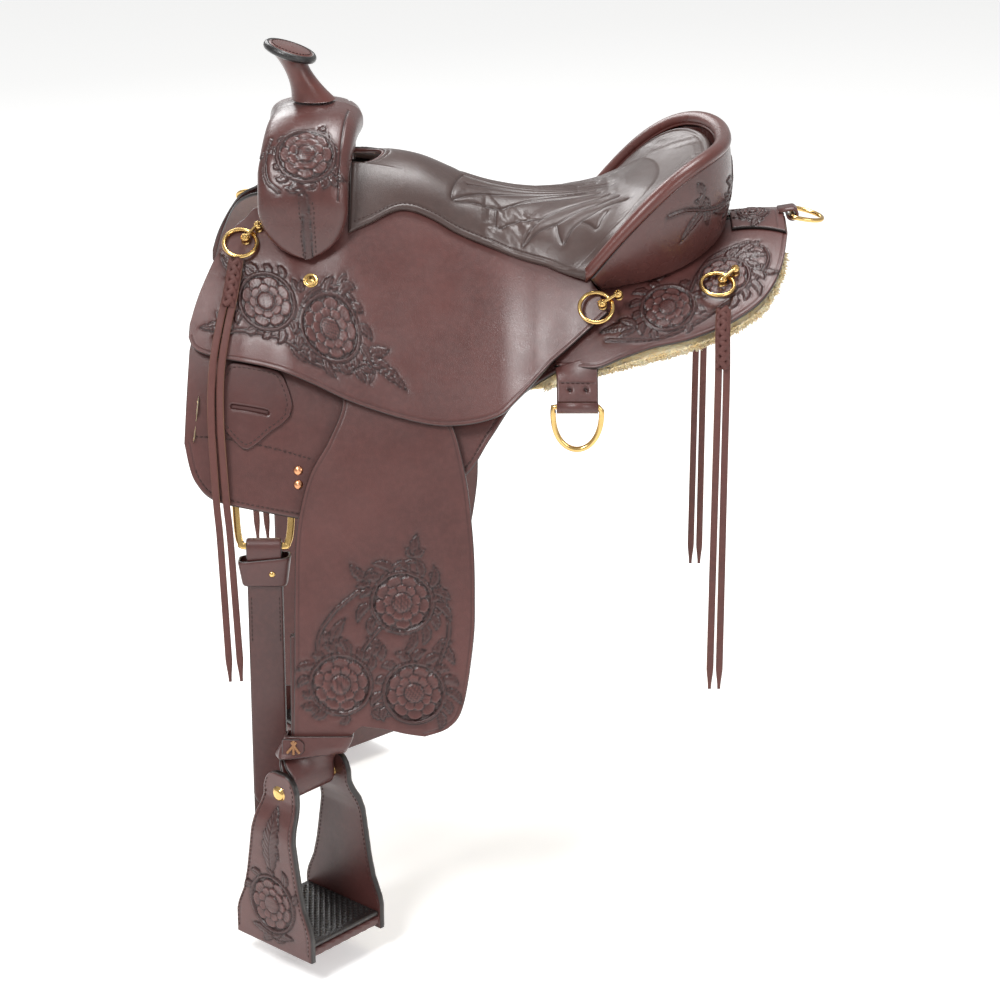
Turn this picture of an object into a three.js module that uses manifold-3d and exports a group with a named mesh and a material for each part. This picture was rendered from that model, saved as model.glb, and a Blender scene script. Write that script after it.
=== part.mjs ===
// A western trail saddle as an assembly of separate pieces, in millimetres, +Z up.
// +X runs to the rear (the cantle), -Y is the near (left) side. The origin is on the centre line
// of the horse's back, under the seat. The near side is built and the off side is its mirror image.
import * as THREE from "three";
import { mergeVertices } from "three/addons/utils/BufferGeometryUtils.js";
import Module from "manifold-3d";

const wasm = await Module();
wasm.setup();

// ---- Driving dimensions -------------------------------------------------------------------
const GAP = 0.4; // clearance between touching pieces
const FRONT_X = -348; // front edge of the skirts
const SWELL_X = -220; // middle of the swell
const SWELL_LENGTH = 98; // fore and aft, at the sides
const SWELL_HALF_WIDTH = 123;
const SWELL_TOP_Z = 178;
const SEAT_FRONT_X = -170;
const SEAT_LENGTH = 265; // from the front of the seat to the near end of the cantle roll
const CANTLE_DEPTH = 159; // from the ends of the cantle roll to its rearmost point
const CANTLE_HALF_WIDTH = 147;
const CANTLE_RISE = 124; // of the roll, from its ends to its top
const REAR_LENGTH = 233; // from the cantle's ends to the rear edge of the skirts
const WITHER_RISE = 95; // of the horse's back, towards the front
const LOIN_RISE = 34; // and towards the rear
const JOCKEY_DROP = 250; // distances down the side, measured along the horse's back
const SKIRT_DROP = 398;
const SKIRT_THICKNESS = 5;
const LEATHER = 4;
const FLEECE = 12;
const FLEECE_GAP = 3.2; // the fleece's woven backing fills it
const SKIRT_COLUMN = 14.8; // seat length for each column of facets in the skirts
const FLEECE_COLUMN = 19; // and in the fleece
const FENDER_TOP_S = 206;
const FENDER_BOTTOM_S = 624;
const FENDER_THICKNESS = 5;
const STRAP_WIDTH = 64; // stirrup leather
const STRAP_THICKNESS = 4.5;
const STRAP_X = -205;
const BOLT_DROP = 57; // stirrup bolt below the hobble strap's top
const BOLT_RADIUS = 7;
const STIRRUP_TWIST = THREE.MathUtils.degToRad(48);
const STIRRUP_DEPTH = 190; // bolt to the bottom
const STIRRUP_HALF_LENGTH = 57; // bolt centre to the middle of a side panel, low down
const STIRRUP_WIDTH = 121; // of the tread, across the foot
const PANEL_THICKNESS = 8;
const TREAD_THICKNESS = 5;
const RING_RADIUS = 18.5; // centre line of a round ring
const RING_TUBE = 2.3;
const DEE_TUBE = 3.2;
const DEE_WIDTH = 54; // rear rigging dee, between centre lines
const DEE_DEPTH = 50;
const LATIGO_WIDTH = 40;
const LATIGO_DROP = 360;
const STRING_WIDTH = 8;
const STRING_THICKNESS = 3.5;
const HORN_CAP_RADIUS = 31;
const HORN_NECK_RADIUS = 16;
const HORN_RISE = 58; // swell top to the underside of the cap

const CANTLE_X = SEAT_FRONT_X + SEAT_LENGTH;
const REAR_X = CANTLE_X + REAR_LENGTH;

// ---- Materials ----------------------------------------------------------------------------
const leather = new THREE.MeshStandardMaterial({ color: 0x5c3532, roughness: 0.45, metalness: 0 });
const seatLeather = new THREE.MeshStandardMaterial({ color: 0x514543, roughness: 0.5, metalness: 0 });
const rollLeather = new THREE.MeshStandardMaterial({ color: 0x5e2622, roughness: 0.35, metalness: 0 });
const blackLeather = new THREE.MeshStandardMaterial({ color: 0x15120f, roughness: 0.3, metalness: 0 });
const stringLeather = new THREE.MeshStandardMaterial({ color: 0x6b352d, roughness: 0.6, metalness: 0 });
const brass = new THREE.MeshStandardMaterial({ color: 0xd6a354, roughness: 0.25, metalness: 1 });
const fleece = new THREE.MeshStandardMaterial({ color: 0xefd897, roughness: 1, metalness: 0 });
const wood = new THREE.MeshStandardMaterial({ color: 0xb08a5a, roughness: 0.8, metalness: 0 });
const rawhide = new THREE.MeshStandardMaterial({ color: 0xc8b48c, roughness: 0.7, metalness: 0 });

// ---- Small helpers ------------------------------------------------------------------------
const group = new THREE.Group();
const smooth = (t) => THREE.MathUtils.smoothstep(t, 0, 1);
const lerp = THREE.MathUtils.lerp;
const vec = (x, y, z) => new THREE.Vector3(x, y, z);

function add(name, geometry, material) {
  const mesh = new THREE.Mesh(geometry, material);
  mesh.name = name;
  group.add(mesh);
}

function fromArrays(points, triangles) {
  const geometry = new THREE.BufferGeometry();
  const numbers = points.flatMap((p) => [p.x, p.y, p.z]);
  geometry.setAttribute("position", new THREE.Float32BufferAttribute(numbers, 3));
  geometry.setIndex(triangles.flat());
  return outward(geometry);
}

function outward(geometry) {
  const p = geometry.getAttribute("position");
  const index = geometry.index.array;
  const [a, b, c] = [vec(), vec(), vec()];
  let volume = 0;
  for (let i = 0; i < index.length; i += 3) {
    a.fromBufferAttribute(p, index[i]);
    b.fromBufferAttribute(p, index[i + 1]);
    c.fromBufferAttribute(p, index[i + 2]);
    volume += a.dot(b.cross(c));
  }
  if (volume < 0) {
    for (let i = 0; i < index.length; i += 3) {
      [index[i + 1], index[i + 2]] = [index[i + 2], index[i + 1]];
    }
  }
  return geometry;
}

function mirrored(geometry) {
  const copy = geometry.clone();
  copy.scale(1, -1, 1);
  return outward(copy);
}

function addPair(name, geometry, material) {
  add(`${name}_near`, geometry, material);
  add(`${name}_off`, mirrored(geometry), material);
}

function welded(geometry) {
  const bare = geometry.clone();
  for (const name of Object.keys(bare.attributes)) {
    if (name !== "position") bare.deleteAttribute(name);
  }
  return outward(mergeVertices(bare, 1e-3));
}

function toSolid(geometry) {
  return new wasm.Manifold(new wasm.Mesh({
    numProp: 3,
    vertProperties: new Float32Array(geometry.getAttribute("position").array),
    triVerts: new Uint32Array(geometry.index.array),
  }));
}

function fromSolid(solid) {
  const mesh = solid.getMesh();
  const geometry = new THREE.BufferGeometry();
  geometry.setAttribute("position", new THREE.BufferAttribute(new Float32Array(mesh.vertProperties), 3));
  geometry.setIndex(new THREE.BufferAttribute(new Uint32Array(mesh.triVerts), 1));
  return geometry;
}

const joined = (...parts) => fromSolid(parts.map(toSolid).reduce((a, b) => a.add(b)));
const cut = (body, ...tools) => fromSolid(tools.map(toSolid).reduce((a, b) => a.subtract(b), toSolid(body)));

// A sheet of leather: place(u, v) is its inner face, and it grows along the normal by its thickness.
function sheet(place, columns, rows, thickness) {
  const points = [];
  const step = 1e-3;
  for (let side = 0; side < 2; side++) {
    for (let i = 0; i <= columns; i++) {
      for (let j = 0; j <= rows; j++) {
        const [u, v] = [i / columns, j / rows];
        const along = place(Math.min(u + step, 1), v).sub(place(Math.max(u - step, 0), v));
        const down = place(u, Math.min(v + step, 1)).sub(place(u, Math.max(v - step, 0)));
        const t = side ? (typeof thickness === "function" ? thickness(u, v) : thickness) : 0;
        points.push(place(u, v).addScaledVector(along.cross(down).normalize(), -t));
      }
    }
  }
  const at = (side, i, j) => (side * (columns + 1) + i) * (rows + 1) + j;
  const triangles = [];
  const quad = (a, b, c, d) => triangles.push([a, b, c], [a, c, d]);
  for (let i = 0; i < columns; i++) {
    for (let j = 0; j < rows; j++) {
      quad(at(0, i, j), at(0, i + 1, j), at(0, i + 1, j + 1), at(0, i, j + 1));
      quad(at(1, i, j + 1), at(1, i + 1, j + 1), at(1, i + 1, j), at(1, i, j));
    }
    quad(at(0, i + 1, 0), at(0, i, 0), at(1, i, 0), at(1, i + 1, 0));
    quad(at(0, i, rows), at(0, i + 1, rows), at(1, i + 1, rows), at(1, i, rows));
  }
  for (let j = 0; j < rows; j++) {
    quad(at(0, 0, j), at(0, 0, j + 1), at(1, 0, j + 1), at(1, 0, j));
    quad(at(0, columns, j + 1), at(0, columns, j), at(1, columns, j), at(1, columns, j + 1));
  }
  return fromArrays(points, triangles);
}

// A solid through a row of closed outlines with equal numbers of points.
function loft(rings, closed = false) {
  const n = rings[0].length;
  const points = rings.flat();
  const triangles = [];
  const last = closed ? rings.length : rings.length - 1;
  for (let i = 0; i < last; i++) {
    const next = (i + 1) % rings.length;
    for (let j = 0; j < n; j++) {
      const k = (j + 1) % n;
      triangles.push([i * n + j, i * n + k, next * n + k], [i * n + j, next * n + k, next * n + j]);
    }
  }
  if (!closed) {
    for (const [ring, flip] of [[0, true], [rings.length - 1, false]]) {
      const centre = rings[ring].reduce((a, b) => a.clone().add(b)).divideScalar(n);
      points.push(centre);
      for (let j = 0; j < n; j++) {
        const pair = [ring * n + j, ring * n + ((j + 1) % n)];
        triangles.push(flip ? [points.length - 1, pair[1], pair[0]] : [points.length - 1, pair[0], pair[1]]);
      }
    }
  }
  return fromArrays(points, triangles);
}

// A section with half sizes a (along side) and b (along up), set square to a path.
function section(centre, side, up, a, b, count, power = 2) {
  return Array.from({ length: count }, (_, k) => {
    const angle = (2 * Math.PI * (k + 0.5)) / count;
    const [c, s] = [Math.cos(angle), Math.sin(angle)];
    return centre.clone()
      .addScaledVector(side, a * Math.sign(c) * Math.abs(c) ** (2 / power))
      .addScaledVector(up, b * Math.sign(s) * Math.abs(s) ** (2 / power));
  });
}

// A closed bar, such as a dee, along a flat closed path whose plane has the given normal.
function closedBar(path, normal, a, b, count, power) {
  const rings = path.map((p, i) => {
    const ahead = path[(i + 1) % path.length].clone().sub(p).normalize();
    const behind = p.clone().sub(path[(i + path.length - 1) % path.length]).normalize();
    const side = ahead.add(behind).normalize().cross(normal).normalize();
    return section(p, side, normal, a, b, count, power);
  });
  return loft(rings, true);
}

const curve2 = (points) => new THREE.SplineCurve(points.map(([x, y]) => new THREE.Vector2(x, y)));

// ---- The horse's back, and the surfaces that lie on it -------------------------------------
const wither = (x) => smooth(x / -330);
const loin = (x) => smooth(x / 150);

function ridge(x) {
  if (x < 0) return WITHER_RISE * wither(x);
  return 0.53 * LOIN_RISE * smooth(x / 110) + 0.47 * LOIN_RISE * smooth((x - 110) / 220);
}

const BEND = 250; // lengths over which the side bends from the ridge's slope to the flap's
const LOWER_BEND = 70;

// Distance out, height and slope at a distance s down the side of the horse.
function profile(x, s, flap = 76) {
  const slopes = [18 + 16 * wither(x) - 10 * loin(x), 66 - 10 * loin(x), flap].map(THREE.MathUtils.degToRad);
  let [out, z, left, slope] = [0, ridge(x), s, slopes[0]];
  for (const [i, length] of [[0, BEND], [1, LOWER_BEND]]) {
    const bend = (slopes[i + 1] - slopes[i]) / length;
    const part = Math.min(left, length);
    slope = slopes[i] + bend * part;
    out += (Math.sin(slope) - Math.sin(slopes[i])) / bend;
    z -= (Math.cos(slopes[i]) - Math.cos(slope)) / bend;
    left -= part;
    if (left <= 0) return { out, z, slope };
  }
  return { out: out + left * Math.cos(slope), z: z - left * Math.sin(slope), slope };
}

function onBack(x, s, lift) {
  const { out, z, slope } = profile(x, s);
  return vec(x, -(out + lift * Math.sin(slope)), z + lift * Math.cos(slope));
}

const FACET_GAP = 2.3; // between neighbouring bent sheets
const REAR_JOCKEY_LIFT = SKIRT_THICKNESS + FACET_GAP;
const FENDER_LIFT = SKIRT_THICKNESS + 7;
const JOCKEY_FRONT_LIFT = 13;
const JOCKEY_LIFT = FENDER_LIFT + FENDER_THICKNESS + 7;
const JOCKEY_REAR_LIFT = REAR_JOCKEY_LIFT + LEATHER + 4;

function jockeyLift(x) {
  const front = lerp(JOCKEY_FRONT_LIFT, JOCKEY_LIFT, smooth((x + 290) / 60));
  return lerp(front, JOCKEY_REAR_LIFT, smooth((x - CANTLE_X + 55) / 50));
}

// Height of the seat's underside on the centre line.
const seatLine = curve2([
  [SEAT_FRONT_X - 10, 114], [SEAT_FRONT_X + 21, 111], [SEAT_FRONT_X + 75, 98], [SEAT_FRONT_X + 129, 75],
  [CANTLE_X - 86, 62], [CANTLE_X - 40, 58], [CANTLE_X + 30, 64],
]);
const seatLinePoints = seatLine.getPoints(60);

function seatHeight(x) {
  const k = seatLinePoints.findIndex((p) => p.x >= x);
  if (k === 0) return seatLinePoints[0].y;
  if (k < 0) return seatLinePoints.at(-1).y;
  const [a, b] = [seatLinePoints[k - 1], seatLinePoints[k]];
  return lerp(a.y, b.y, (x - a.x) / (b.x - a.x));
}

// The underside of the jockeys and the seat: draped from the seat's centre line to the side.
const DRAPE = 190;

function underSeat(x, s) {
  const lift = jockeyLift(x);
  if (s >= DRAPE) return onBack(x, s, lift);
  const edge = profile(x, DRAPE);
  const end = onBack(x, DRAPE, lift);
  const wide = smooth((x - CANTLE_X + 115) / 110);
  const [reach, pull] = [60 + 45 * wide, 75 - 30 * wide];
  const top = seatHeight(x);
  const draped = new THREE.CubicBezierCurve(
    new THREE.Vector2(0, top),
    new THREE.Vector2(reach, top),
    new THREE.Vector2(-end.y - pull * Math.cos(edge.slope), end.z + pull * Math.sin(edge.slope)),
    new THREE.Vector2(-end.y, end.z),
  ).getPoint(s / DRAPE);
  const on = onBack(x, s, lift);
  const share = smooth((x - SEAT_FRONT_X + 65) / 65);
  return vec(x, lerp(on.y, -draped.x, share), lerp(on.z, draped.y, share));
}

// A panel between an upper and a lower edge, both given as [x, s] from front to rear.
function panel(surface, upper, lower, columns, rows, thickness) {
  const [a, b] = [curve2(upper), curve2(lower)];
  const [p, q] = [a.getSpacedPoints(columns), b.getSpacedPoints(columns)];
  const pick = (list, u) => {
    const t = Math.min(u * columns, columns - 1e-9);
    return list[Math.floor(t)].clone().lerp(list[Math.floor(t) + 1], t % 1);
  };
  return sheet((u, v) => {
    const at = pick(p, u).lerp(pick(q, u), v);
    return surface(at.x, at.y);
  }, columns, rows, thickness);
}

// ---- Skirts, fleece, jockeys ---------------------------------------------------------------
const skirtUpper = [
  [FRONT_X, 226], [FRONT_X + 18, 150], [FRONT_X + 45, 80], [FRONT_X + 90, 48], [SEAT_FRONT_X, 40],
  [CANTLE_X - 95, 26], [CANTLE_X, 12], [REAR_X - 70, 6], [REAR_X - 4, 6],
];
const skirtLower = [
  [FRONT_X - 6, 330], [FRONT_X + 6, SKIRT_DROP - 24], [FRONT_X + 38, SKIRT_DROP], [FRONT_X + 121, SKIRT_DROP],
  [SEAT_FRONT_X - 20, SKIRT_DROP - 18], [SEAT_FRONT_X + 70, SKIRT_DROP - 48],
  [SEAT_FRONT_X + 131, SKIRT_DROP - 100], [SEAT_FRONT_X + 160, SKIRT_DROP - 145],
  [SEAT_FRONT_X + 190, 212], [CANTLE_X - 35, 198], [CANTLE_X + 20, 196], [CANTLE_X + 76, 186],
  [CANTLE_X + 118, 178], [CANTLE_X + 166, 160], [CANTLE_X + 200, 134], [CANTLE_X + 220, 92], [REAR_X - 4, 50],
];

function addSkirts() {
  const columns = Math.ceil(SEAT_LENGTH / SKIRT_COLUMN);
  const fleeceColumns = Math.ceil(SEAT_LENGTH / FLEECE_COLUMN);
  const skirt = panel((x, s) => onBack(x, s, 0), skirtUpper, skirtLower, columns, 7, SKIRT_THICKNESS);
  addPair("skirt", skirt, leather);
  const inset = (edge, d) => edge.map(([x, s]) => [Math.min(Math.max(x, FRONT_X + 12), REAR_X + 3), s + d]);
  const lower = inset(skirtLower, 10).map(([x, s]) => [x, Math.min(s, RIGGING_S - 14)]);
  const underside = (x, s) => onBack(x, s, -FLEECE_GAP - FLEECE);
  addPair("fleece", panel(underside, inset(skirtUpper, 4), lower, fleeceColumns, 4, FLEECE), fleece);
}

const jockeyUpper = [
  [FRONT_X + 1, 200], [FRONT_X + 13, 160], [FRONT_X + 40, 97], [FRONT_X + 60, 71], [FRONT_X + 77, 54],
  [SWELL_X, 56], [SEAT_FRONT_X + 20, 46], [SEAT_FRONT_X + 120, 46], [CANTLE_X - 60, 60], [CANTLE_X - 8, 90],
  [CANTLE_X + 16, 122],
];
const jockeyLower = [
  [FRONT_X, 214], [FRONT_X + 6, 226], [FRONT_X + 20, 233], [FRONT_X + 43, 237], [FRONT_X + 96, 239],
  [SWELL_X + 12, 244], [SEAT_FRONT_X + 9, JOCKEY_DROP], [SEAT_FRONT_X + 86, JOCKEY_DROP],
  [SEAT_FRONT_X + 128, JOCKEY_DROP - 6], [SEAT_FRONT_X + 168, JOCKEY_DROP - 18], [CANTLE_X - 73, 216],
  [CANTLE_X - 35, 190], [CANTLE_X + 4, 163], [CANTLE_X + 26, 146],
];

function addJockeys() {
  addPair("jockey", panel(underSeat, jockeyUpper, jockeyLower, 18, 6, LEATHER), leather);
}

const TAB_X = CANTLE_X - 9; // middle of the rear rigging tab
const TAB_WIDTH = 46;
const TAB_S = 244;
const rearJockeyUpper = [
  [TAB_X - TAB_WIDTH / 2, 180], [CANTLE_X, 140], [CANTLE_X + 20, 104], [CANTLE_X + 74, 88],
  [CANTLE_X + 119, 64], [CANTLE_X + 150, 24], [CANTLE_X + 170, 6], [REAR_X, 4],
];
const rearJockeyLower = [
  [TAB_X - TAB_WIDTH / 2, 192], [TAB_X, 204], [TAB_X + TAB_WIDTH / 2, 212], [CANTLE_X + 40, 206],
  [CANTLE_X + 76, 196], [CANTLE_X + 117, 190],
  [CANTLE_X + 164, 174], [CANTLE_X + 201, 146], [CANTLE_X + 222, 103], [REAR_X, 43],
];

function tabFrame() {
  const top = onBack(TAB_X, TAB_S - 6, REAR_JOCKEY_LIFT);
  const low = onBack(TAB_X, TAB_S, REAR_JOCKEY_LIFT);
  const down = low.clone().sub(top).normalize();
  return { low, down, out: vec(0, down.z, -down.y).normalize() };
}

const deeBar = () => {
  const { low, down, out } = tabFrame();
  return low.clone().addScaledVector(down, DEE_TUBE + 1).addScaledVector(out, LEATHER / 2);
};

function tube(radius, bore, length, count) {
  const outer = new THREE.Shape().absarc(0, 0, radius, 0, 2 * Math.PI);
  outer.holes.push(new THREE.Path().absarc(0, 0, bore, 0, 2 * Math.PI, true));
  const settings = { depth: length, bevelEnabled: false, curveSegments: count };
  const geometry = new THREE.ExtrudeGeometry(outer, settings);
  return welded(geometry.translate(0, 0, -length / 2));
}

function addRearJockeys() {
  const underside = (x, s) => onBack(x, s, REAR_JOCKEY_LIFT);
  const body = panel(underside, rearJockeyUpper, rearJockeyLower, 12, 4, LEATHER);
  const halfTab = TAB_WIDTH / 2;
  const tab = panel(
    (x, s) => {
      const flat = onBack(TAB_X, s, REAR_JOCKEY_LIFT).setX(x);
      return underside(x, s).lerp(flat, smooth((s - 190) / 34));
    },
    [[TAB_X - halfTab, 186], [TAB_X, 186], [TAB_X + halfTab, 186]],
    [[TAB_X - halfTab, TAB_S], [TAB_X, TAB_S], [TAB_X + halfTab, TAB_S]],
    2, 3, LEATHER,
  );
  const fold = tube(DEE_TUBE + GAP + LEATHER, DEE_TUBE + GAP, TAB_WIDTH, 8).rotateY(Math.PI / 2);
  const bar = deeBar();
  fold.translate(bar.x, bar.y, bar.z);
  addPair("rear_jockey", joined(body, tab, fold), leather);
}

// ---- Swell, fork and horn ------------------------------------------------------------------
// The arch runs from the near foot (t = 1) over the top (t = 0) to the off foot.
const archOuter = curve2([
  [0, SWELL_TOP_Z], [48, SWELL_TOP_Z - 6], [92, SWELL_TOP_Z - 30], [SWELL_HALF_WIDTH - 4, SWELL_TOP_Z - 72],
  [SWELL_HALF_WIDTH, SWELL_TOP_Z - 112], [SWELL_HALF_WIDTH - 2, SWELL_TOP_Z - 152],
]);
const archInner = curve2([
  [0, SWELL_TOP_Z - 48], [36, SWELL_TOP_Z - 52], [66, SWELL_TOP_Z - 68], [86, SWELL_TOP_Z - 98],
  [96, SWELL_TOP_Z - 128], [108, SWELL_TOP_Z - 150],
]);

function archSection(t, inset, count) {
  const side = Math.sign(t);
  const a = archOuter.getPointAt(Math.abs(t));
  const b = archInner.getPointAt(Math.abs(t));
  const [outer, inner] = [vec(0, side * a.x, a.y), vec(0, side * b.x, b.y)];
  if (t === 0) outer.y = inner.y = 0;
  const half = outer.distanceTo(inner) / 2;
  const up = outer.clone().sub(inner).normalize();
  const taper = 1 - 0.8 * smooth((Math.abs(t) - 0.72) / 0.28) ** 1.4;
  const long = (SWELL_LENGTH / 2 + 3 * (1 - Math.abs(t))) * taper;
  const centre = outer.add(inner).multiplyScalar(0.5);
  centre.x = SWELL_X + 12 * (1 - Math.min(1, 2.2 * Math.abs(t))) + 8 * (1 - taper);
  return { centre, up, long: long - inset, half: half - inset, count };
}

function forkRings(inset, count, reach) {
  const rings = [];
  const steps = 16;
  for (let i = 0; i <= steps; i++) {
    const { centre, up, long, half } = archSection(lerp(-reach, reach, i / steps), inset, count);
    rings.push(section(centre, vec(1, 0, 0), up, Math.max(long, 2), Math.max(half, 2), count, 2.6));
  }
  return rings;
}

function addSwell() {
  const inset = LEATHER + 1 + 6 * GAP;
  const shell = loft(forkRings(0, 14, 1));
  const hollow = loft(forkRings(LEATHER + 1, 14, 0.955));
  const feet = [-1, 1].map((side) => {
    const box = new THREE.BoxGeometry(60, 60, 30);
    return welded(box.translate(SWELL_X + 8, side * 82, SWELL_TOP_Z - 160));
  });
  add("tree_fork", loft(forkRings(inset, 14, 0.93)), rawhide);
  const gulletX = SWELL_X + 8;
  const gullet = welded(new THREE.BoxGeometry(50, 44, 30).translate(gulletX, 0, SWELL_TOP_Z - 58));
  add("swell_cover", cut(shell, hollow, gullet, ...feet), leather);
}

const HORN_BASE = vec(SWELL_X + 8, 0, SWELL_TOP_Z + 2);
const HORN_TOP = vec(SWELL_X - 19, 0, SWELL_TOP_Z + HORN_RISE - 6);
const HORN_TILT = 0.32; // the cap's front edge is higher than its rear edge

function addHorn() {
  const path = new THREE.QuadraticBezierCurve3(HORN_BASE, vec(SWELL_X - 4, 0, SWELL_TOP_Z + 28), HORN_TOP);
  const steps = 6;
  const rings = [];
  for (let i = 0; i <= steps; i++) {
    const t = i / steps;
    const tilt = HORN_TILT * t;
    const flare = 9 * (1 - t) ** 3 + 7 * t ** 6;
    const side = vec(Math.cos(tilt), 0, -Math.sin(tilt));
    const [long, wide] = [HORN_NECK_RADIUS + flare, HORN_NECK_RADIUS + flare * 0.7];
    rings.push(section(path.getPoint(t), side, vec(0, 1, 0), long, wide, 10));
  }
  add("horn_neck", loft(rings), rollLeather);
  const disc = (profilePoints) => {
    const geometry = new THREE.LatheGeometry(profilePoints.map(([x, y]) => new THREE.Vector2(x, y)), 18);
    geometry.rotateX(Math.PI / 2).rotateY(HORN_TILT);
    return welded(geometry.translate(HORN_TOP.x, 0, HORN_TOP.z));
  };
  const r = HORN_CAP_RADIUS;
  const low = 7; // the cap's underside clears the leaning neck
  add("horn_cap", disc([[0, low], [r - 4, low], [r - 4, low + 7], [r - 4, low + 9], [0, low + 11]]), leather);
  const inside = r - 4 + GAP;
  const band = [[inside, low], [r, low + 2], [r, low + 6], [inside, low + 8], [inside, low]];
  add("horn_band", disc(band), blackLeather);
}

// ---- Seat and cantle -----------------------------------------------------------------------
const ROLL_WIDTH = 9.5; // half widths of the roll's section
const ROLL_HEIGHT = 8;

function square(t) {
  // A rounded rectangle's quarter: distance back and out for an angle from -90 to 90 degrees.
  const power = 2 / 2.4;
  return [Math.abs(Math.cos(t)) ** power, Math.sign(t) * Math.abs(Math.sin(t)) ** power];
}

function rollPoint(angle) {
  const [back, out] = square(angle);
  const height = 14 + CANTLE_RISE * Math.sin((Math.PI / 2) * back);
  return vec(CANTLE_X + CANTLE_DEPTH * back, CANTLE_HALF_WIDTH * out, height);
}

function rollFrame(angle) {
  const step = 0.01;
  const along = rollPoint(angle + step).sub(rollPoint(angle - step)).normalize();
  const centre = rollPoint(angle);
  const up = vec(-0.25 * Math.cos(angle), 0, 1);
  up.addScaledVector(along, -up.dot(along)).normalize();
  return { centre, up, out: along.clone().cross(up).normalize() };
}

const seatEdge = curve2([
  [SEAT_FRONT_X, 100], [SEAT_FRONT_X + 24, 88], [SEAT_FRONT_X + 58, 70], [SEAT_FRONT_X + 91, 69],
  [SEAT_FRONT_X + 120, 74], [CANTLE_X - 86, 83], [CANTLE_X - 44, 90], [CANTLE_X - 6, 101],
]);
const SEAT_ARCH_END = 0.62; // share of the seat's rows ahead of the dish

function seatUnderside(u, v) {
  const across = 2 * v - 1;
  const ahead = Math.min(u / SEAT_ARCH_END, 1);
  const edge = seatEdge.getPoint(ahead * 0.86);
  const rest = underSeat(edge.x, Math.abs(across) * edge.y);
  const lift = LEATHER + 1.8;
  const slope = lerp(0, 1, Math.abs(across));
  const side = Math.sign(across);
  const start = vec(edge.x, side * (-rest.y + lift * 0.6 * slope), rest.z + lift * lerp(1, 0.8, slope));
  if (u <= SEAT_ARCH_END) return start;
  const t = (u - SEAT_ARCH_END) / (1 - SEAT_ARCH_END);
  const { centre, out, up } = rollFrame((across * Math.PI) / 2);
  const inwards = ROLL_WIDTH + 6.5 * (1 - 0.3 * Math.abs(across));
  const rim = centre.addScaledVector(out, -inwards).addScaledVector(up, -9);
  rim.x = Math.max(rim.x, edge.x + 20);
  const reach = lerp(115, 18, across ** 2);
  const knee = vec(start.x + reach, lerp(start.y, rim.y, 0.6), start.z + lerp(0, -4, across ** 2));
  return new THREE.QuadraticBezierCurve3(start, knee, rim).getPoint(t);
}

function seatThickness(u, v) {
  const across = Math.abs(2 * v - 1);
  return 5 + 7 * Math.sin(Math.PI * Math.min(1, 1.15 * u)) ** 0.5 * (1 - across ** 3);
}

function addSeat() {
  const body = sheet(seatUnderside, 16, 12, (u, v) => -seatThickness(u, v));
  const hole = new THREE.CylinderGeometry(1, 1, 90, 20);
  hole.rotateX(Math.PI / 2).scale(34, 32, 1).translate(SEAT_FRONT_X + 2, 0, seatHeight(SEAT_FRONT_X));
  add("seat_cover", cut(body, welded(hole)), seatLeather);
  const [front, rear, half] = [SEAT_FRONT_X + 44, CANTLE_X - 40, 34];
  const filler = sheet((u, v) => {
    const across = 2 * v - 1;
    const at = underSeat(lerp(front, rear, u), Math.abs(across) * half);
    return vec(at.x, -Math.sign(across) * at.y, at.z - 16);
  }, 7, 4, -14.5);
  add("ground_seat", filler, rawhide);
}

function cantleBase(angle) {
  const [back, out] = square(angle);
  const x = CANTLE_X + 16 + (CANTLE_DEPTH - 14) * back;
  const y = (CANTLE_HALF_WIDTH - 33) * Math.abs(out);
  let s = 0;
  while (profile(x, s).out < y && s < 300) s += 0.5;
  const { z, slope } = profile(x, s);
  const lift = REAR_JOCKEY_LIFT + LEATHER + 3.5;
  return vec(x, Math.sign(angle) * y, z + lift / Math.cos(slope));
}

function cantleWall(inset, thickness, columns, name, material) {
  const reach = THREE.MathUtils.degToRad(86);
  add(name, sheet((u, v) => {
    const angle = lerp(-reach, reach, u);
    const { centre, out, up } = rollFrame(angle);
    const top = centre.addScaledVector(up, -ROLL_HEIGHT - 1.5).addScaledVector(out, 4);
    const base = cantleBase(angle);
    if (base.z > top.z - 6) base.z = top.z - 6;
    const bow = Math.sin(Math.PI * v) * 5;
    const at = top.lerp(base, v);
    at.addScaledVector(vec(Math.cos(angle), Math.sin(angle), 0), bow - inset);
    return at;
  }, columns, 3, thickness), material);
}

function addCantle() {
  const rings = [];
  const steps = 18;
  for (let i = 0; i <= steps; i++) {
    const angle = lerp(-Math.PI / 2, Math.PI / 2, i / steps);
    const { centre, out, up } = rollFrame(angle);
    const end = 0.55 + 0.45 * smooth(Math.min(i, steps - i) / 3);
    rings.push(section(centre, out, up, ROLL_WIDTH * end, ROLL_HEIGHT * end, 8));
  }
  add("cantle_roll", loft(rings), rollLeather);
  cantleWall(0, 3.5, 16, "cantle_back", leather);
  cantleWall(4, -6, 12, "cantle_board", wood);
}

function addBars() {
  const [front, rear] = [FRONT_X + 75, CANTLE_X + 80];
  addPair("tree_bar", sheet((u, v) => {
    const x = lerp(front, rear, u);
    const outer = 118 - 40 * smooth((x - CANTLE_X + 30) / 100) - 20 * smooth((SWELL_X - x) / 60);
    return onBack(x, lerp(outer - 66 * smooth(2 * u + 0.3), outer, v), SKIRT_THICKNESS + 4);
  }, 8, 3, 5), rawhide);
}

// ---- Front rigging, latigo and billet ------------------------------------------------------
const RIGGING_X = -266; // middle of the front rigging dee
const RIGGING_S = SKIRT_DROP - 50; // its upper bar, between the skirt's layers
const RIGGING_DROP = 92;
const RIGGING_WIDTH = 66;
const RIGGING_BAR = [4, 2]; // half sizes of its flat section
const RIGGING_LIFT = -GAP - 3;

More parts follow.
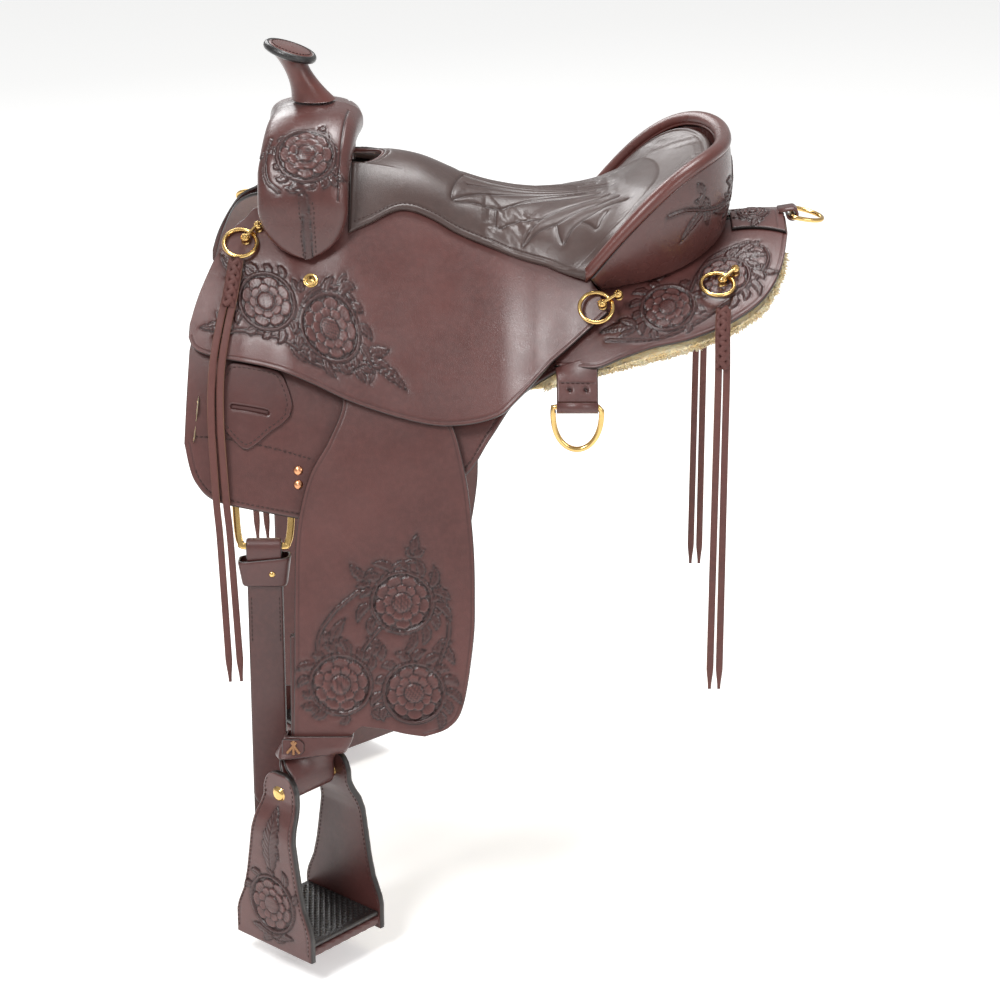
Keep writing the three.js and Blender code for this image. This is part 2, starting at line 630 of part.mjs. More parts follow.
function flatFrame(x, s, lift) {
  // A plane that touches the flap at x, s: its lift is measured along the flap's normal.
  const { out, z, slope } = profile(x, s);
  const normal = vec(0, -Math.sin(slope), Math.cos(slope));
  const down = vec(0, -Math.cos(slope), -Math.sin(slope));
  return { centre: vec(x, -out, z).addScaledVector(normal, lift), normal, down };
}

function addFrontRigging() {
  const { centre, normal, down } = flatFrame(RIGGING_X, RIGGING_S + 20, RIGGING_LIFT - 1.5);
  const half = RIGGING_WIDTH / 2;
  const low = RIGGING_DROP;
  const outline = [
    [-half, 14], [-half + 3, 4], [-half + 10, 0], [half - 10, 0], [half - 3, 4], [half, 14],
    [half - 2, low - 34],
    [half - 4, low - 12], [half - 7, low - 3], [half - 11, low],
    [11 - half, low], [7 - half, low - 3], [4 - half, low - 12], [2 - half, low - 34],
  ];
  const path = outline.map(([x, d]) => centre.clone().add(vec(x, 0, 0)).addScaledVector(down, d - 20));
  addPair("front_rigging", closedBar(path, normal, RIGGING_BAR[0], RIGGING_BAR[1], 8, 4), brass);
  return centre.clone().addScaledVector(down, low - 20);
}

// A strap folded over the dee's lower bar, so that two plies hang from it.
function addLatigo(bar, name, plyDrop, mirror) {
  const [deep, tall] = [RIGGING_BAR[1] + 2.8, RIGGING_BAR[0] + 2.6];
  const path = [[0.6, -LATIGO_DROP], [0.6, -34], [deep, -13]];
  const turn = 6;
  for (let i = 0; i <= turn; i++) {
    const angle = (Math.PI * i) / turn;
    path.push([deep * Math.cos(angle), tall * Math.sin(angle)]);
  }
  path.push([-deep, -13], [-0.6, -34], [-0.6, -plyDrop]);
  const strap = sheet((u, v) => {
    const t = u * (path.length - 1);
    const k = Math.min(Math.floor(t), path.length - 2);
    const f = t - k;
    const [from, to] = [path[k], path[k + 1]];
    const across = lerp(-0.5, 0.5, v) * LATIGO_WIDTH;
    return bar.clone().add(vec(across, lerp(from[0], to[0], f), lerp(from[1], to[1], f)));
  }, path.length - 1, 1, -LEATHER);
  add(name, mirror ? mirrored(strap) : strap, leather);
}

const KEEPER_TOP = 226;

function addKeepers() {
  const upper = [
    [-56, 286], [-50, 268], [-38, 248], [-30, 239], [-2, 238], [26, 239], [36, 252], [42, 270], [40, 280],
  ];
  const lower = [
    [-56, 290], [-50, 300], [-40, 312], [-28, 324], [-14, 333], [0, 324], [16, 308], [30, 296], [40, 284],
  ];
  const shift = (edge) => edge.map(([x, s]) => [RIGGING_X - 6 + x * 0.94, Math.max(s, KEEPER_TOP)]);
  const underside = (x, s) => onBack(x, s, SKIRT_THICKNESS + GAP);
  const body = panel(underside, shift(upper), shift(lower), 8, 3, LEATHER);
  const { centre, normal, down } = flatFrame(RIGGING_X - 14, 287, SKIRT_THICKNESS + LEATHER);
  const slot = new THREE.BoxGeometry(44, 6, 30);
  slot.applyMatrix4(new THREE.Matrix4().makeBasis(vec(1, 0, 0), down, normal.clone()));
  slot.translate(centre.x, centre.y, centre.z);
  addPair("latigo_keeper", cut(body, welded(slot)), leather);
}

// ---- Fenders, stirrup leathers and stirrups --------------------------------------------------
const LEG_X = -165; // where the leg's surface is taken from the horse's side

function onLeg(x, s, lift) {
  const { out, z, slope } = profile(LEG_X, s, 78);
  return vec(x, -(out + lift * Math.sin(slope)), z + lift * Math.cos(slope));
}

const fenderFront = [
  [-190, FENDER_TOP_S], [-184, 228], [-176, 252], [-192, 291], [-214, 330], [-228, 391], [-231, 470],
  [-232, 550], [STRAP_X - STRAP_WIDTH / 2 + 3, FENDER_BOTTOM_S],
  [STRAP_X - STRAP_WIDTH / 2 + 3, FENDER_BOTTOM_S + 8],
];
const fenderRear = [
  [-140, FENDER_TOP_S], [-104, 232], [-60, 262], [-40, 320], [-30, 400], [-28, 470], [-30, 520], [-41, 590],
  [-57, 616], [-85, FENDER_BOTTOM_S + 3],
];
const fenderNotch = [
  [-85, FENDER_BOTTOM_S + 3], [-106, 624], [-128, 619], [-150, 616], [-163, FENDER_BOTTOM_S - 8],
  [STRAP_X + STRAP_WIDTH / 2 - 3, FENDER_BOTTOM_S + 8],
];

const STRAP_SHARE = 0.24; // of the fender's columns that run into the strap

function fenderColumns() {
  // Rows run down the fender; the lowest row is the notched bottom edge.
  const [front, rear] = [curve2(fenderFront), curve2(fenderRear)];
  const bottom = curve2([...fenderNotch].reverse());
  return (u, v) => {
    const a = front.getPoint(v);
    const b = rear.getPoint(v);
    const straight = a.clone().lerp(b, u);
    const strap = front.getPoint(1).lerp(bottom.getPoint(0), Math.min(u / STRAP_SHARE, 1));
    const end = u < STRAP_SHARE ? strap : bottom.getPoint((u - STRAP_SHARE) / (1 - STRAP_SHARE));
    const flat = front.getPoint(1).lerp(rear.getPoint(1), u);
    return straight.add(end.sub(flat).multiplyScalar(smooth((v - 0.6) / 0.4)));
  };
}

function addFenders() {
  const place = fenderColumns();
  addPair("fender", sheet((u, v) => {
    const at = place(u, v);
    return onLeg(at.x, at.y, FENDER_LIFT);
  }, 7, 11, FENDER_THICKNESS), leather);
}

const legSlope = profile(LEG_X, 600, 78).slope;
const legDown = vec(0, -Math.cos(legSlope), -Math.sin(legSlope));
const legNormal = vec(0, -Math.sin(legSlope), Math.cos(legSlope));
const hobbleTop = onLeg(STRAP_X, FENDER_BOTTOM_S, FENDER_LIFT);
const PLY_GAP = 5;
const PLY_OFFSET = GAP + STRAP_THICKNESS + PLY_GAP / 2; // from the fender's inner face to the loop's middle
const BOLT_AHEAD = 14; // the stirrup hangs ahead of the fender's strap
const boltCentre = hobbleTop.clone().add(vec(-BOLT_AHEAD, 0, 0))
  .addScaledVector(legDown, BOLT_DROP).addScaledVector(legNormal, -PLY_OFFSET);

// The twisted frame of the stirrup leather at a distance d above the bolt.
function strapFrame(d) {
  const twist = STIRRUP_TWIST * (1 - smooth((d - 12) / (BOLT_DROP - 25)));
  const width = vec(Math.cos(twist), Math.sin(twist), 0);
  const normal = width.clone().cross(legDown).normalize();
  if (normal.y > 0) normal.negate();
  const centre = boltCentre.clone().addScaledVector(legDown, -d);
  centre.x += BOLT_AHEAD * smooth((d - 22) / (BOLT_DROP - 22));
  return { centre, width, normal };
}

const hobbleRungs = [1, 9, 17, 25].map((drop) => BOLT_DROP - drop); // above the bolt

function addStirrupLeathers() {
  const flat = PLY_GAP / 2 + STRAP_THICKNESS;
  const round = BOLT_RADIUS + GAP + STRAP_THICKNESS;
  const stops = [];
  const top = 170;
  const rungs = [top, 110, 80, ...hobbleRungs, 20, 10];
  for (const d of rungs) stops.push([d, 1]);
  const turn = 8;
  for (let i = 0; i <= turn; i++) stops.push([(Math.PI * i) / turn, 0]);
  for (const d of rungs.reverse()) stops.push([d, -1]);
  const spread = (d) => lerp(round, flat, smooth(d / 48));
  const place = (k, v) => {
    const [d, side] = stops[k];
    const across = (v - 0.5) * STRAP_WIDTH;
    if (side === 0) {
      const { centre, width, normal } = strapFrame(0);
      return centre.addScaledVector(width, across)
        .addScaledVector(normal, round * Math.cos(d)).addScaledVector(legDown, round * Math.sin(d));
    }
    const { centre, width, normal } = strapFrame(d);
    return centre.addScaledVector(width, across).addScaledVector(normal, side * spread(d));
  };
  const rows = stops.length - 1;
  addPair("stirrup_leather", sheet((u, v) => {
    const t = u * rows;
    const k = Math.min(Math.floor(t), rows - 1);
    return place(k, v).lerp(place(k + 1, v), t - k);
  }, rows, 2, STRAP_THICKNESS), leather);
}

function addHobbles() {
  const wall = 3;
  const clear = 0.0656 * STRAP_WIDTH; // a wider strap twists further inside the hobble
  const last = hobbleRungs.length - 1;
  const longer = hobbleRungs.map((d, i) => d + (i === 0 ? 1 : 0) - (i === last ? 1 : 0));
  const half = [STRAP_WIDTH / 2 + clear, 0];
  const outerDepth = PLY_OFFSET + FENDER_THICKNESS + clear;
  const innerDepth = PLY_GAP / 2 + STRAP_THICKNESS + 2 + clear;
  const outline = (frame, grow) => {
    const [a, b, c] = [half[0] + grow, outerDepth + grow, innerDepth + grow];
    const corners = [[-a, -c], [-a, b], [-a / 3, b], [a / 3, b], [a, b], [a, -c], [a / 3, -c], [-a / 3, -c]];
    const { centre, width, normal } = frame;
    return corners.map(([w, n]) => centre.clone().addScaledVector(width, w).addScaledVector(normal, n));
  };
  const outer = loft(hobbleRungs.map((d) => outline(strapFrame(d), wall)));
  const inner = loft(longer.map((d) => outline(strapFrame(d), 0)));
  addPair("hobble_strap", cut(outer, inner), leather);
}

// Side panel: half width and distance from the middle, at a depth below the bolt.
const panelStations = [
  [-24.5, 9, 0], [-21.5, 16.5, 0], [-15, 22, 0], [-5, 25.5, 0], [8, 26, 0], [20, 28, 0.25], [34, 31, 0.75],
  [48, 33, 1], [80, 38, 1], [104, 42, 1], [128, 48, 1], [150, 58, 1], [160, 60.5, 1],
  [STIRRUP_DEPTH, 60.5, 1],
];
const STRAP_CLEARANCE = 6; // the strap leans between the stirrup's panels
const PANEL_TOP_OFFSET = STRAP_WIDTH / 2 + STRAP_CLEARANCE + PANEL_THICKNESS / 2;

const boltAxis = vec(Math.cos(STIRRUP_TWIST), Math.sin(STIRRUP_TWIST), 0);
const treadAxis = vec(-Math.sin(STIRRUP_TWIST), Math.cos(STIRRUP_TWIST), 0);

const inStirrup = (along, across, depth) => boltCentre.clone()
  .addScaledVector(boltAxis, along).addScaledVector(treadAxis, across).add(vec(0, 0, -depth));

function stirrupPanel(side) {
  const rings = panelStations.map(([depth, half, splay]) => {
    const e = side * lerp(PANEL_TOP_OFFSET, STIRRUP_HALF_LENGTH, splay);
    const w = (half * STIRRUP_WIDTH) / 121;
    const t = PANEL_THICKNESS / 2;
    return [[-t, -w], [t, -w], [t, w], [-t, w]].map(([a, b]) => inStirrup(e + a, b, depth));
  });
  return loft(rings);
}

function rotatedBox(length, width, height, depth) {
  const box = new THREE.BoxGeometry(length, width, height);
  box.rotateZ(STIRRUP_TWIST);
  const at = inStirrup(0, 0, depth);
  return welded(box.translate(at.x, at.y, at.z));
}

function boltPiece(radius, length, count, along) {
  const rod = new THREE.CylinderGeometry(radius, radius, length, count);
  rod.rotateZ(Math.PI / 2).rotateZ(STIRRUP_TWIST);
  const at = inStirrup(along, 0, 0);
  return welded(rod.translate(at.x, at.y, at.z));
}

function addStirrups() {
  const inside = 2 * STIRRUP_HALF_LENGTH - PANEL_THICKNESS;
  const base = rotatedBox(inside + 2, STIRRUP_WIDTH - 4, 14, STIRRUP_DEPTH - 10);
  const bolt = boltPiece(BOLT_RADIUS - GAP / 2, 2 * PANEL_TOP_OFFSET, 10, 0);
  const headAt = PANEL_TOP_OFFSET + PANEL_THICKNESS / 2 + 1.5;
  const heads = [-1, 1].map((side) => boltPiece(8, 4, 10, side * headAt));
  addPair("stirrup", joined(stirrupPanel(-1), stirrupPanel(1), base, bolt, ...heads), leather);
  const top = STIRRUP_DEPTH - 17;
  const pad = rotatedBox(inside - 1.2, STIRRUP_WIDTH - 6, TREAD_THICKNESS, top - TREAD_THICKNESS / 2 - GAP);
  addPair("tread", pad, blackLeather);
}

// ---- Rings, dees, clips and the crupper strap ------------------------------------------------
// A clip is a bar on two feet; its ring passes under the bar and lies on the leather.
function surfaceFrame(surface, x, s) {
  const at = surface(x, s);
  const alongX = surface(x + 1, s).sub(surface(x - 1, s)).normalize();
  const down = surface(x, s + 1).sub(surface(x, s - 1));
  const normal = down.clone().cross(alongX).normalize();
  return { at, alongX, normal, down: normal.clone().cross(alongX).negate().normalize() };
}

function rod(from, to, radius, count) {
  const length = from.distanceTo(to);
  const geometry = new THREE.CylinderGeometry(radius, radius, length, count);
  const turn = new THREE.Quaternion().setFromUnitVectors(vec(0, 1, 0), to.clone().sub(from).normalize());
  geometry.applyQuaternion(turn);
  const mid = from.clone().lerp(to, 0.5);
  return welded(geometry.translate(mid.x, mid.y, mid.z));
}

const CLIP_HALF = 10.5; // bar centre to a foot's centre
const FOOT_RADIUS = 5.2;
const RING_TILT = THREE.MathUtils.degToRad(9); // a ring lies on the leather at its far side only

function clipAndRing(name, surface, x, s, angle, outerFootDrop) {
  const { at, alongX, normal, down } = surfaceFrame(surface, x, s);
  const towards = alongX.clone().multiplyScalar(Math.cos(angle)).addScaledVector(down, -Math.sin(angle));
  const lift = (p, h) => p.clone().addScaledVector(normal, h);
  const barHeight = 2 * RING_TUBE + 4.4;
  const inner = at.clone().addScaledVector(towards, -CLIP_HALF);
  const outer = at.clone().addScaledVector(towards, CLIP_HALF);
  const clip = joined(
    rod(lift(inner, 2 * GAP), lift(inner, barHeight + 2.4), FOOT_RADIUS, 8),
    rod(lift(outer, 2 * GAP - outerFootDrop), lift(outer, barHeight + 2.4), FOOT_RADIUS, 8),
    rod(lift(inner, barHeight), lift(outer, barHeight), 2.1, 6),
  );
  addPair(`${name}_clip`, clip, brass);
  const pivot = lift(at, RING_TUBE + 2 * GAP);
  const lie = towards.clone().multiplyScalar(-Math.cos(RING_TILT));
  lie.addScaledVector(normal, Math.sin(RING_TILT));
  const centre = pivot.clone().addScaledVector(lie, RING_RADIUS);
  const axis = normal.clone().cross(towards).normalize();
  const ring = new THREE.TorusGeometry(RING_RADIUS, RING_TUBE, 6, 16);
  const across = lie.clone().cross(axis).normalize();
  ring.applyQuaternion(new THREE.Quaternion().setFromUnitVectors(vec(0, 0, 1), across));
  addPair(`${name}_ring`, welded(ring.translate(centre.x, centre.y, centre.z)), brass);
}

const topOf = (surface, thickness) => (x, s) => {
  const { at, normal } = surfaceFrame(surface, x, s);
  return at.addScaledVector(normal, thickness);
};
const jockeyTop = topOf(underSeat, LEATHER);
const rearJockeyTop = (x, s) => onBack(x, s, REAR_JOCKEY_LIFT + LEATHER);

function addFittings() {
  clipAndRing("front", jockeyTop, SWELL_X - 59, 92, 0.98, 0);
  clipAndRing("middle", jockeyTop, CANTLE_X + 29, 134, 0.42, 8);
  clipAndRing("rear", rearJockeyTop, CANTLE_X + 162, 117, 0.72, 0);
}

function deePath(centre, across, deep, width, depth) {
  const half = width / 2;
  const points = [];
  const steps = 12;
  points.push([-half, 0], [-half / 3, 0], [half / 3, 0], [half, 0]);
  for (let i = 0; i <= steps; i++) {
    const angle = (Math.PI * i) / steps;
    const square2 = Math.sin(angle) ** 0.85;
    points.push([half * Math.cos(angle), 5 + (depth - 5) * square2]);
  }
  return points.map(([a, d]) => centre.clone().addScaledVector(across, a).addScaledVector(deep, d));
}

function addRearDees() {
  const bar = deeBar();
  const path = deePath(bar, vec(1, 0, 0), vec(0, 0, -1), DEE_WIDTH, DEE_DEPTH);
  addPair("rear_dee", closedBar(path, vec(0, -1, 0), DEE_TUBE, DEE_TUBE, 6, 2), brass);
}

const CRUPPER_BAR_X = REAR_X + 8;
const CRUPPER_WIDTH = 45; // of its dee, between centre lines
const CRUPPER_TUBE = 2.6;

function addCrupper() {
  const [front, rear] = [CANTLE_X + 170, REAR_X - 2];
  const lift = REAR_JOCKEY_LIFT + LEATHER + GAP;
  const strap = sheet((u, v) => {
    const across = 2 * v - 1;
    const edge = lerp(30, 42, u) + 5 * (2 * u - 1) ** 2;
    const at = onBack(lerp(front, rear, u), Math.abs(across) * edge, lift);
    return vec(at.x, -Math.sign(across) * at.y, at.z);
  }, 5, 8, -LEATHER);
  const crown = profile(REAR_X, 0).z + lift;
  const bar = vec(CRUPPER_BAR_X, 0, crown + 1);
  const loopWidth = 24;
  const fold = tube(CRUPPER_TUBE + GAP + 3, CRUPPER_TUBE + GAP, loopWidth, 8).rotateX(Math.PI / 2);
  fold.translate(bar.x, bar.y, bar.z);
  const tongue = welded(new THREE.BoxGeometry(14, loopWidth, 3).translate(bar.x - 10, 0, bar.z + 1.2));
  const bore = tube(CRUPPER_TUBE + GAP, 0.5, loopWidth + 2, 8);
  bore.rotateX(Math.PI / 2).translate(bar.x, bar.y, bar.z);
  add("crupper_strap", joined(strap, cut(tongue, bore), fold), leather);
  const path = deePath(bar, vec(0, 1, 0), vec(Math.cos(0.2), 0, -Math.sin(0.2)), CRUPPER_WIDTH, 36);
  const normal = vec(Math.sin(0.2), 0, Math.cos(0.2));
  add("crupper_ring", closedBar(path, normal, CRUPPER_TUBE, CRUPPER_TUBE, 6, 2), brass);
}

// ---- Saddle strings --------------------------------------------------------------------------
// Two flat tails side by side hang from a ring. The route lies on the leather, then hangs straight.
const STRING_STEPS = 16;
const frontRoute = [
  [-296, 127, 23], [-301, 165, 23], [-308, 200, 22.5], [-314, 235, 22], [-317, 270, 18], [-317, 310, 16],
  [-315, 350, 14], [-312, 398, 12],
];
const rearRoute = [[CANTLE_X + 154, 160, 15], [CANTLE_X + 153, 174, 15], [CANTLE_X + 152, 192, 14.5]];

function addString(name, route, tip, opening) {
  const resting = route.map(([x, s, lift]) => onBack(x, s, lift));
  const curve = new THREE.CatmullRomCurve3([...resting, ...tip]);
  for (const [tail, side] of [["a", -1], ["b", 1]]) {
    const rings = [];
    for (let i = 0; i <= STRING_STEPS; i++) {
      const t = i / STRING_STEPS;
      const along = curve.getTangentAt(t);
      const face = vec(1, 0, 0).addScaledVector(along, -along.x).normalize();
      const up = face.clone().cross(along).normalize();
      const shift = side * (STRING_WIDTH / 2 + GAP + opening * t);
      const centre = curve.getPointAt(t).addScaledVector(face, shift);
      rings.push(section(centre, face, up, STRING_WIDTH / 2, STRING_THICKNESS / 2, 8, 3));
    }
    addPair(`${name}_string_${tail}`, loft(rings), stringLeather);
  }
}

function addStrings() {
  const front = [vec(-309, -217, -268), vec(-306, -218, -340), vec(-302, -218, -447)];
  addString("front", frontRoute, front, 2);
  const rear = [vec(247, -192, -90), vec(247, -192, -200), vec(247, -192, -330), vec(247, -192, -468)];
  addString("rear", rearRoute, rear, 1);
}

// ---- Assembly --------------------------------------------------------------------------------
addSkirts();
addJockeys();
addRearJockeys();
addSwell();
addHorn();
addSeat();
addCantle();
addBars();
const riggingBar = addFrontRigging();
addLatigo(riggingBar, "latigo_near", LATIGO_DROP - 40, false);
addLatigo(riggingBar, "billet_off", 150, true);
addKeepers();
addFenders();
addStirrupLeathers();
addHobbles();
addStirrups();
addFittings();
addRearDees();
addCrupper();
addStrings();

export default group;
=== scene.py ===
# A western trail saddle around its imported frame: tooled leather, fleece, brass and hanging strings.
# Shapes are worked out in millimetres in the frame's axes and written to Blender in metres.
# The near side is built and most pieces are mirrored to the off side.
import math

import bpy
import numpy as np
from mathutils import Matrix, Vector


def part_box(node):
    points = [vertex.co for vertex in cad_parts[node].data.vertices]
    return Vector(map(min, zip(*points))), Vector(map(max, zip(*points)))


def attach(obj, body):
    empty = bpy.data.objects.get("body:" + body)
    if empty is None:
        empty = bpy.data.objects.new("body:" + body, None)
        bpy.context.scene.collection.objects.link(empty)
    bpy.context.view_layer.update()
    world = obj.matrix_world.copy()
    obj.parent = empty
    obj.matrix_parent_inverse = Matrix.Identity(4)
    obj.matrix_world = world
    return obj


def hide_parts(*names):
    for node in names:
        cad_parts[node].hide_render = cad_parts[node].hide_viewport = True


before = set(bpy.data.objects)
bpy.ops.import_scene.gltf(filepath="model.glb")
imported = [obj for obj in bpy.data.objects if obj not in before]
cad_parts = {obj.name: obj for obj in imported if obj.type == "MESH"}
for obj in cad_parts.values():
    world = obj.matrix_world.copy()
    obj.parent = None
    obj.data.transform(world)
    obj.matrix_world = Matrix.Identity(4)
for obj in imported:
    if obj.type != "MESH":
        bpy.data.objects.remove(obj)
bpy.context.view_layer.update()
MM = 0.001
RNG = np.random.default_rng(7)
WORLD_LIGHT, FLOOR_GLOW = 0.5, 0.34
EDGE_RADIUS = 1.3  # millimetres, of a leather sheet's rounded edge
RELIEF = 1.75  # height of the carving, against its drawn height
PAD_PRESSURE, PAD_FRAMES, PAD_CAP = 4, 20, 4.0  # the seat's cloth simulation; the cap is in millimetres


def low(node):
    return np.array(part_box(node)[0]) / MM


def high(node):
    return np.array(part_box(node)[1]) / MM


# ---- Camera, light and floor ----------------------------------------------------------------
def make_camera():
    data = bpy.data.cameras.new("camera")
    data.lens, data.sensor_width = 111.6, 36
    camera = bpy.data.objects.new("camera", data)
    camera.location = (0, -3.454, 1.017)
    camera.rotation_euler = (math.radians(69), 0, 0)
    bpy.context.scene.collection.objects.link(camera)
    bpy.context.scene.camera = camera


def make_light(name, place, aim, size, power, colour=(1, 1, 1)):
    data = bpy.data.lights.new(name, "AREA")
    data.shape, data.size, data.energy, data.color = "DISK", size, power, colour
    light = bpy.data.objects.new(name, data)
    light.location = place
    light.rotation_euler = (Vector(aim) - Vector(place)).to_track_quat("-Z", "Y").to_euler()
    bpy.context.scene.collection.objects.link(light)


def make_stage():
    bpy.context.scene.view_settings.view_transform = "Standard"
    floor = bpy.data.meshes.new("floor")
    half, z = 14, low("stirrup_near")[2] * MM - 0.03
    corners = [(-half, -half, z), (half, -half, z), (half, half, z), (-half, half, z)]
    floor.from_pydata(corners, [], [(0, 1, 2, 3)])
    obj = bpy.data.objects.new("floor", floor)
    bpy.context.scene.collection.objects.link(obj)
    paint = bpy.data.materials.new("floor")
    paint.use_nodes = True
    shader = paint.node_tree.nodes["Principled BSDF"]
    shader.inputs["Base Color"].default_value = (0.93, 0.93, 0.92, 1)
    shader.inputs["Roughness"].default_value = 0.9
    shader.inputs["Emission Color"].default_value = (1, 1, 1, 1)
    shader.inputs["Emission Strength"].default_value = FLOOR_GLOW
    floor.materials.append(paint)
    world = bpy.data.worlds.new("world")
    bpy.context.scene.world = world
    world.use_nodes = True
    world.node_tree.nodes["Background"].inputs["Color"].default_value = (1, 1, 1, 1)
    world.node_tree.nodes["Background"].inputs["Strength"].default_value = WORLD_LIGHT
    make_light("key", (-1.6, -2.4, 2.6), (0, 0, -0.1), 1.2, 100)
    make_light("fill", (2.4, -2.2, 1.2), (0, 0, -0.2), 1.4, 30)
    make_light("top", (0.3, 0.4, 2.6), (0, 0, 0), 1.0, 52)
    make_light("back", (-1.2, 2.6, 1.6), (0, 0, 0), 1.4, 30)


# ---- Materials -------------------------------------------------------------------------------
def shader_tree(name):
    material = bpy.data.materials.new(name)
    material.use_nodes = True
    nodes, links = material.node_tree.nodes, material.node_tree.links
    return material, nodes, links, nodes["Principled BSDF"]


def place_nodes(nodes):
    return nodes.new("ShaderNodeTexCoord").outputs["Object"]


def noise(nodes, links, vector, scale, detail=3.0, rough=0.55):
    node = nodes.new("ShaderNodeTexNoise")
    node.inputs["Scale"].default_value = scale
    node.inputs["Detail"].default_value = detail
    node.inputs["Roughness"].default_value = rough
    links.new(vector, node.inputs["Vector"])
    return node.outputs["Fac"]


def mix(nodes, links, share, a, b, blend="MIX"):
    node = nodes.new("ShaderNodeMix")
    node.data_type, node.blend_type = "RGBA", blend
    for socket, value in ((node.inputs["Factor"], share), (node.inputs[6], a), (node.inputs[7], b)):
        if isinstance(value, bpy.types.NodeSocket):
            links.new(value, socket)
        else:
            socket.default_value = value if isinstance(value, (int, float)) else (*value, 1)
    return node.outputs[2]


def remap(nodes, links, value, a, b, low_out=0.0, high_out=1.0):
    node = nodes.new("ShaderNodeMapRange")
    for socket, number in zip(("From Min", "From Max", "To Min", "To Max"), (a, b, low_out, high_out)):
        node.inputs[socket].default_value = number
    links.new(value, node.inputs["Value"])
    return node.outputs["Result"]


def bump(nodes, links, shader, heights, distance):
    """Bumps chained one on another: heights is a list of (socket, strength)."""
    last = None
    for height, strength in heights:
        node = nodes.new("ShaderNodeBump")
        node.inputs["Strength"].default_value = strength
        node.inputs["Distance"].default_value = distance
        links.new(height, node.inputs["Height"])
        if last:
            links.new(last, node.inputs["Normal"])
        last = node.outputs["Normal"]
    links.new(last, shader.inputs["Normal"])


def leather(name, base, deep, rough=0.42, coat=0.12, grain=1.0, edge=(0.012, 0.008, 0.007), pull=0.0):
    """Smooth leather: grain, pores and slow colour changes.

    The mark attribute holds, in red, the antique dye of the tooling and painted shade in the seat's quilting,
    the tread's grooves and punched holes; dark edge paint in green; and a painted highlight on raised carving
    in blue.
    """
    material, nodes, links, shader = shader_tree(name)
    at = place_nodes(nodes)
    mark = nodes.new("ShaderNodeAttribute")
    mark.attribute_name = "mark"
    parts = nodes.new("ShaderNodeSeparateColor")
    links.new(mark.outputs["Color"], parts.inputs["Color"])
    antique_and_painted_shade, cut, raised_highlight = parts.outputs["Red"], parts.outputs["Green"], parts.outputs["Blue"]
    slow = remap(nodes, links, noise(nodes, links, at, 9, 4, 0.6), 0.35, 0.7)
    fine = noise(nodes, links, at, 150, 2, 0.5)
    darker = tuple(c * 0.72 for c in base)
    lighter = tuple(min(1, c * 1.25) for c in base)
    colour = mix(nodes, links, slow, darker, base)
    colour = mix(nodes, links, remap(nodes, links, fine, 0.4, 0.75, 0, 0.35), colour, lighter)
    # Painted highlight: the carving's raised parts are lightened (blue mark).
    colour = mix(nodes, links, raised_highlight, colour, tuple(c * 1.7 for c in base))
    # Antique dye in the tooling, and painted shade in quilting, grooves and holes (red mark).
    colour = mix(nodes, links, antique_and_painted_shade, colour, deep)
    colour = mix(nodes, links, cut, colour, edge)
    links.new(colour, shader.inputs["Base Color"])
    cells = nodes.new("ShaderNodeTexVoronoi")
    cells.feature = "DISTANCE_TO_EDGE"
    cells.inputs["Scale"].default_value = 620
    links.new(at, cells.inputs["Vector"])
    pores = remap(nodes, links, cells.outputs["Distance"], 0.0, 0.18)
    creases = noise(nodes, links, at, 46, 5, 0.65)
    bump(nodes, links, shader, [(pores, 0.16 * grain), (fine, 0.1 * grain), (creases, 0.05 + pull)], 0.0006)
    gloss = remap(nodes, links, noise(nodes, links, at, 30, 3, 0.6), 0.3, 0.75, rough - 0.06, rough + 0.1)
    links.new(gloss, shader.inputs["Roughness"])
    shader.inputs["Coat Weight"].default_value = coat
    shader.inputs["Coat Roughness"].default_value = 0.3
    shader.inputs["Specular IOR Level"].default_value = 0.42
    return material


def metal(name, base, rough=0.16):
    material, nodes, links, shader = shader_tree(name)
    at = place_nodes(nodes)
    worn = remap(nodes, links, noise(nodes, links, at, 60, 4, 0.6), 0.35, 0.7)
    links.new(mix(nodes, links, worn, tuple(c * 0.8 for c in base), base), shader.inputs["Base Color"])
    scratches = noise(nodes, links, at, 420, 3, 0.7)
    links.new(remap(nodes, links, scratches, 0.3, 0.8, rough, rough + 0.12), shader.inputs["Roughness"])
    bump(nodes, links, shader, [(scratches, 0.06)], 0.0003)
    shader.inputs["Metallic"].default_value = 1
    return material


def wool(name, base, deep):
    material, nodes, links, shader = shader_tree(name)
    at = place_nodes(nodes)
    curls = noise(nodes, links, at, 260, 5, 0.7)
    tufts = noise(nodes, links, at, 70, 3, 0.6)
    colour = mix(nodes, links, remap(nodes, links, tufts, 0.35, 0.7), deep, base)
    colour = mix(nodes, links, remap(nodes, links, curls, 0.45, 0.8, 0, 0.6), colour, (1, 0.93, 0.74))
    links.new(colour, shader.inputs["Base Color"])
    shader.inputs["Roughness"].default_value = 0.95
    shader.inputs["Sheen Weight"].default_value = 0.5
    shader.inputs["Subsurface Weight"].default_value = 0.12
    shader.inputs["Subsurface Radius"].default_value = (0.006, 0.004, 0.002)
    bump(nodes, links, shader, [(curls, 0.9), (tufts, 0.7)], 0.003)
    return material


def thread(name, base):
    material, nodes, links, shader = shader_tree(name)
    at = place_nodes(nodes)
    twist = noise(nodes, links, at, 900, 2, 0.6)
    links.new(mix(nodes, links, twist, tuple(c * 0.5 for c in base), base), shader.inputs["Base Color"])
    shader.inputs["Roughness"].default_value = 0.62
    bump(nodes, links, shader, [(twist, 0.5)], 0.0004)
    return material


def hide(name, base):
    material, nodes, links, shader = shader_tree(name)
    at = place_nodes(nodes)
    slow = noise(nodes, links, at, 22, 5, 0.6)
    links.new(mix(nodes, links, slow, tuple(c * 0.6 for c in base), base), shader.inputs["Base Color"])
    shader.inputs["Roughness"].default_value = 0.6
    bump(nodes, links, shader, [(slow, 0.4)], 0.001)
    return material


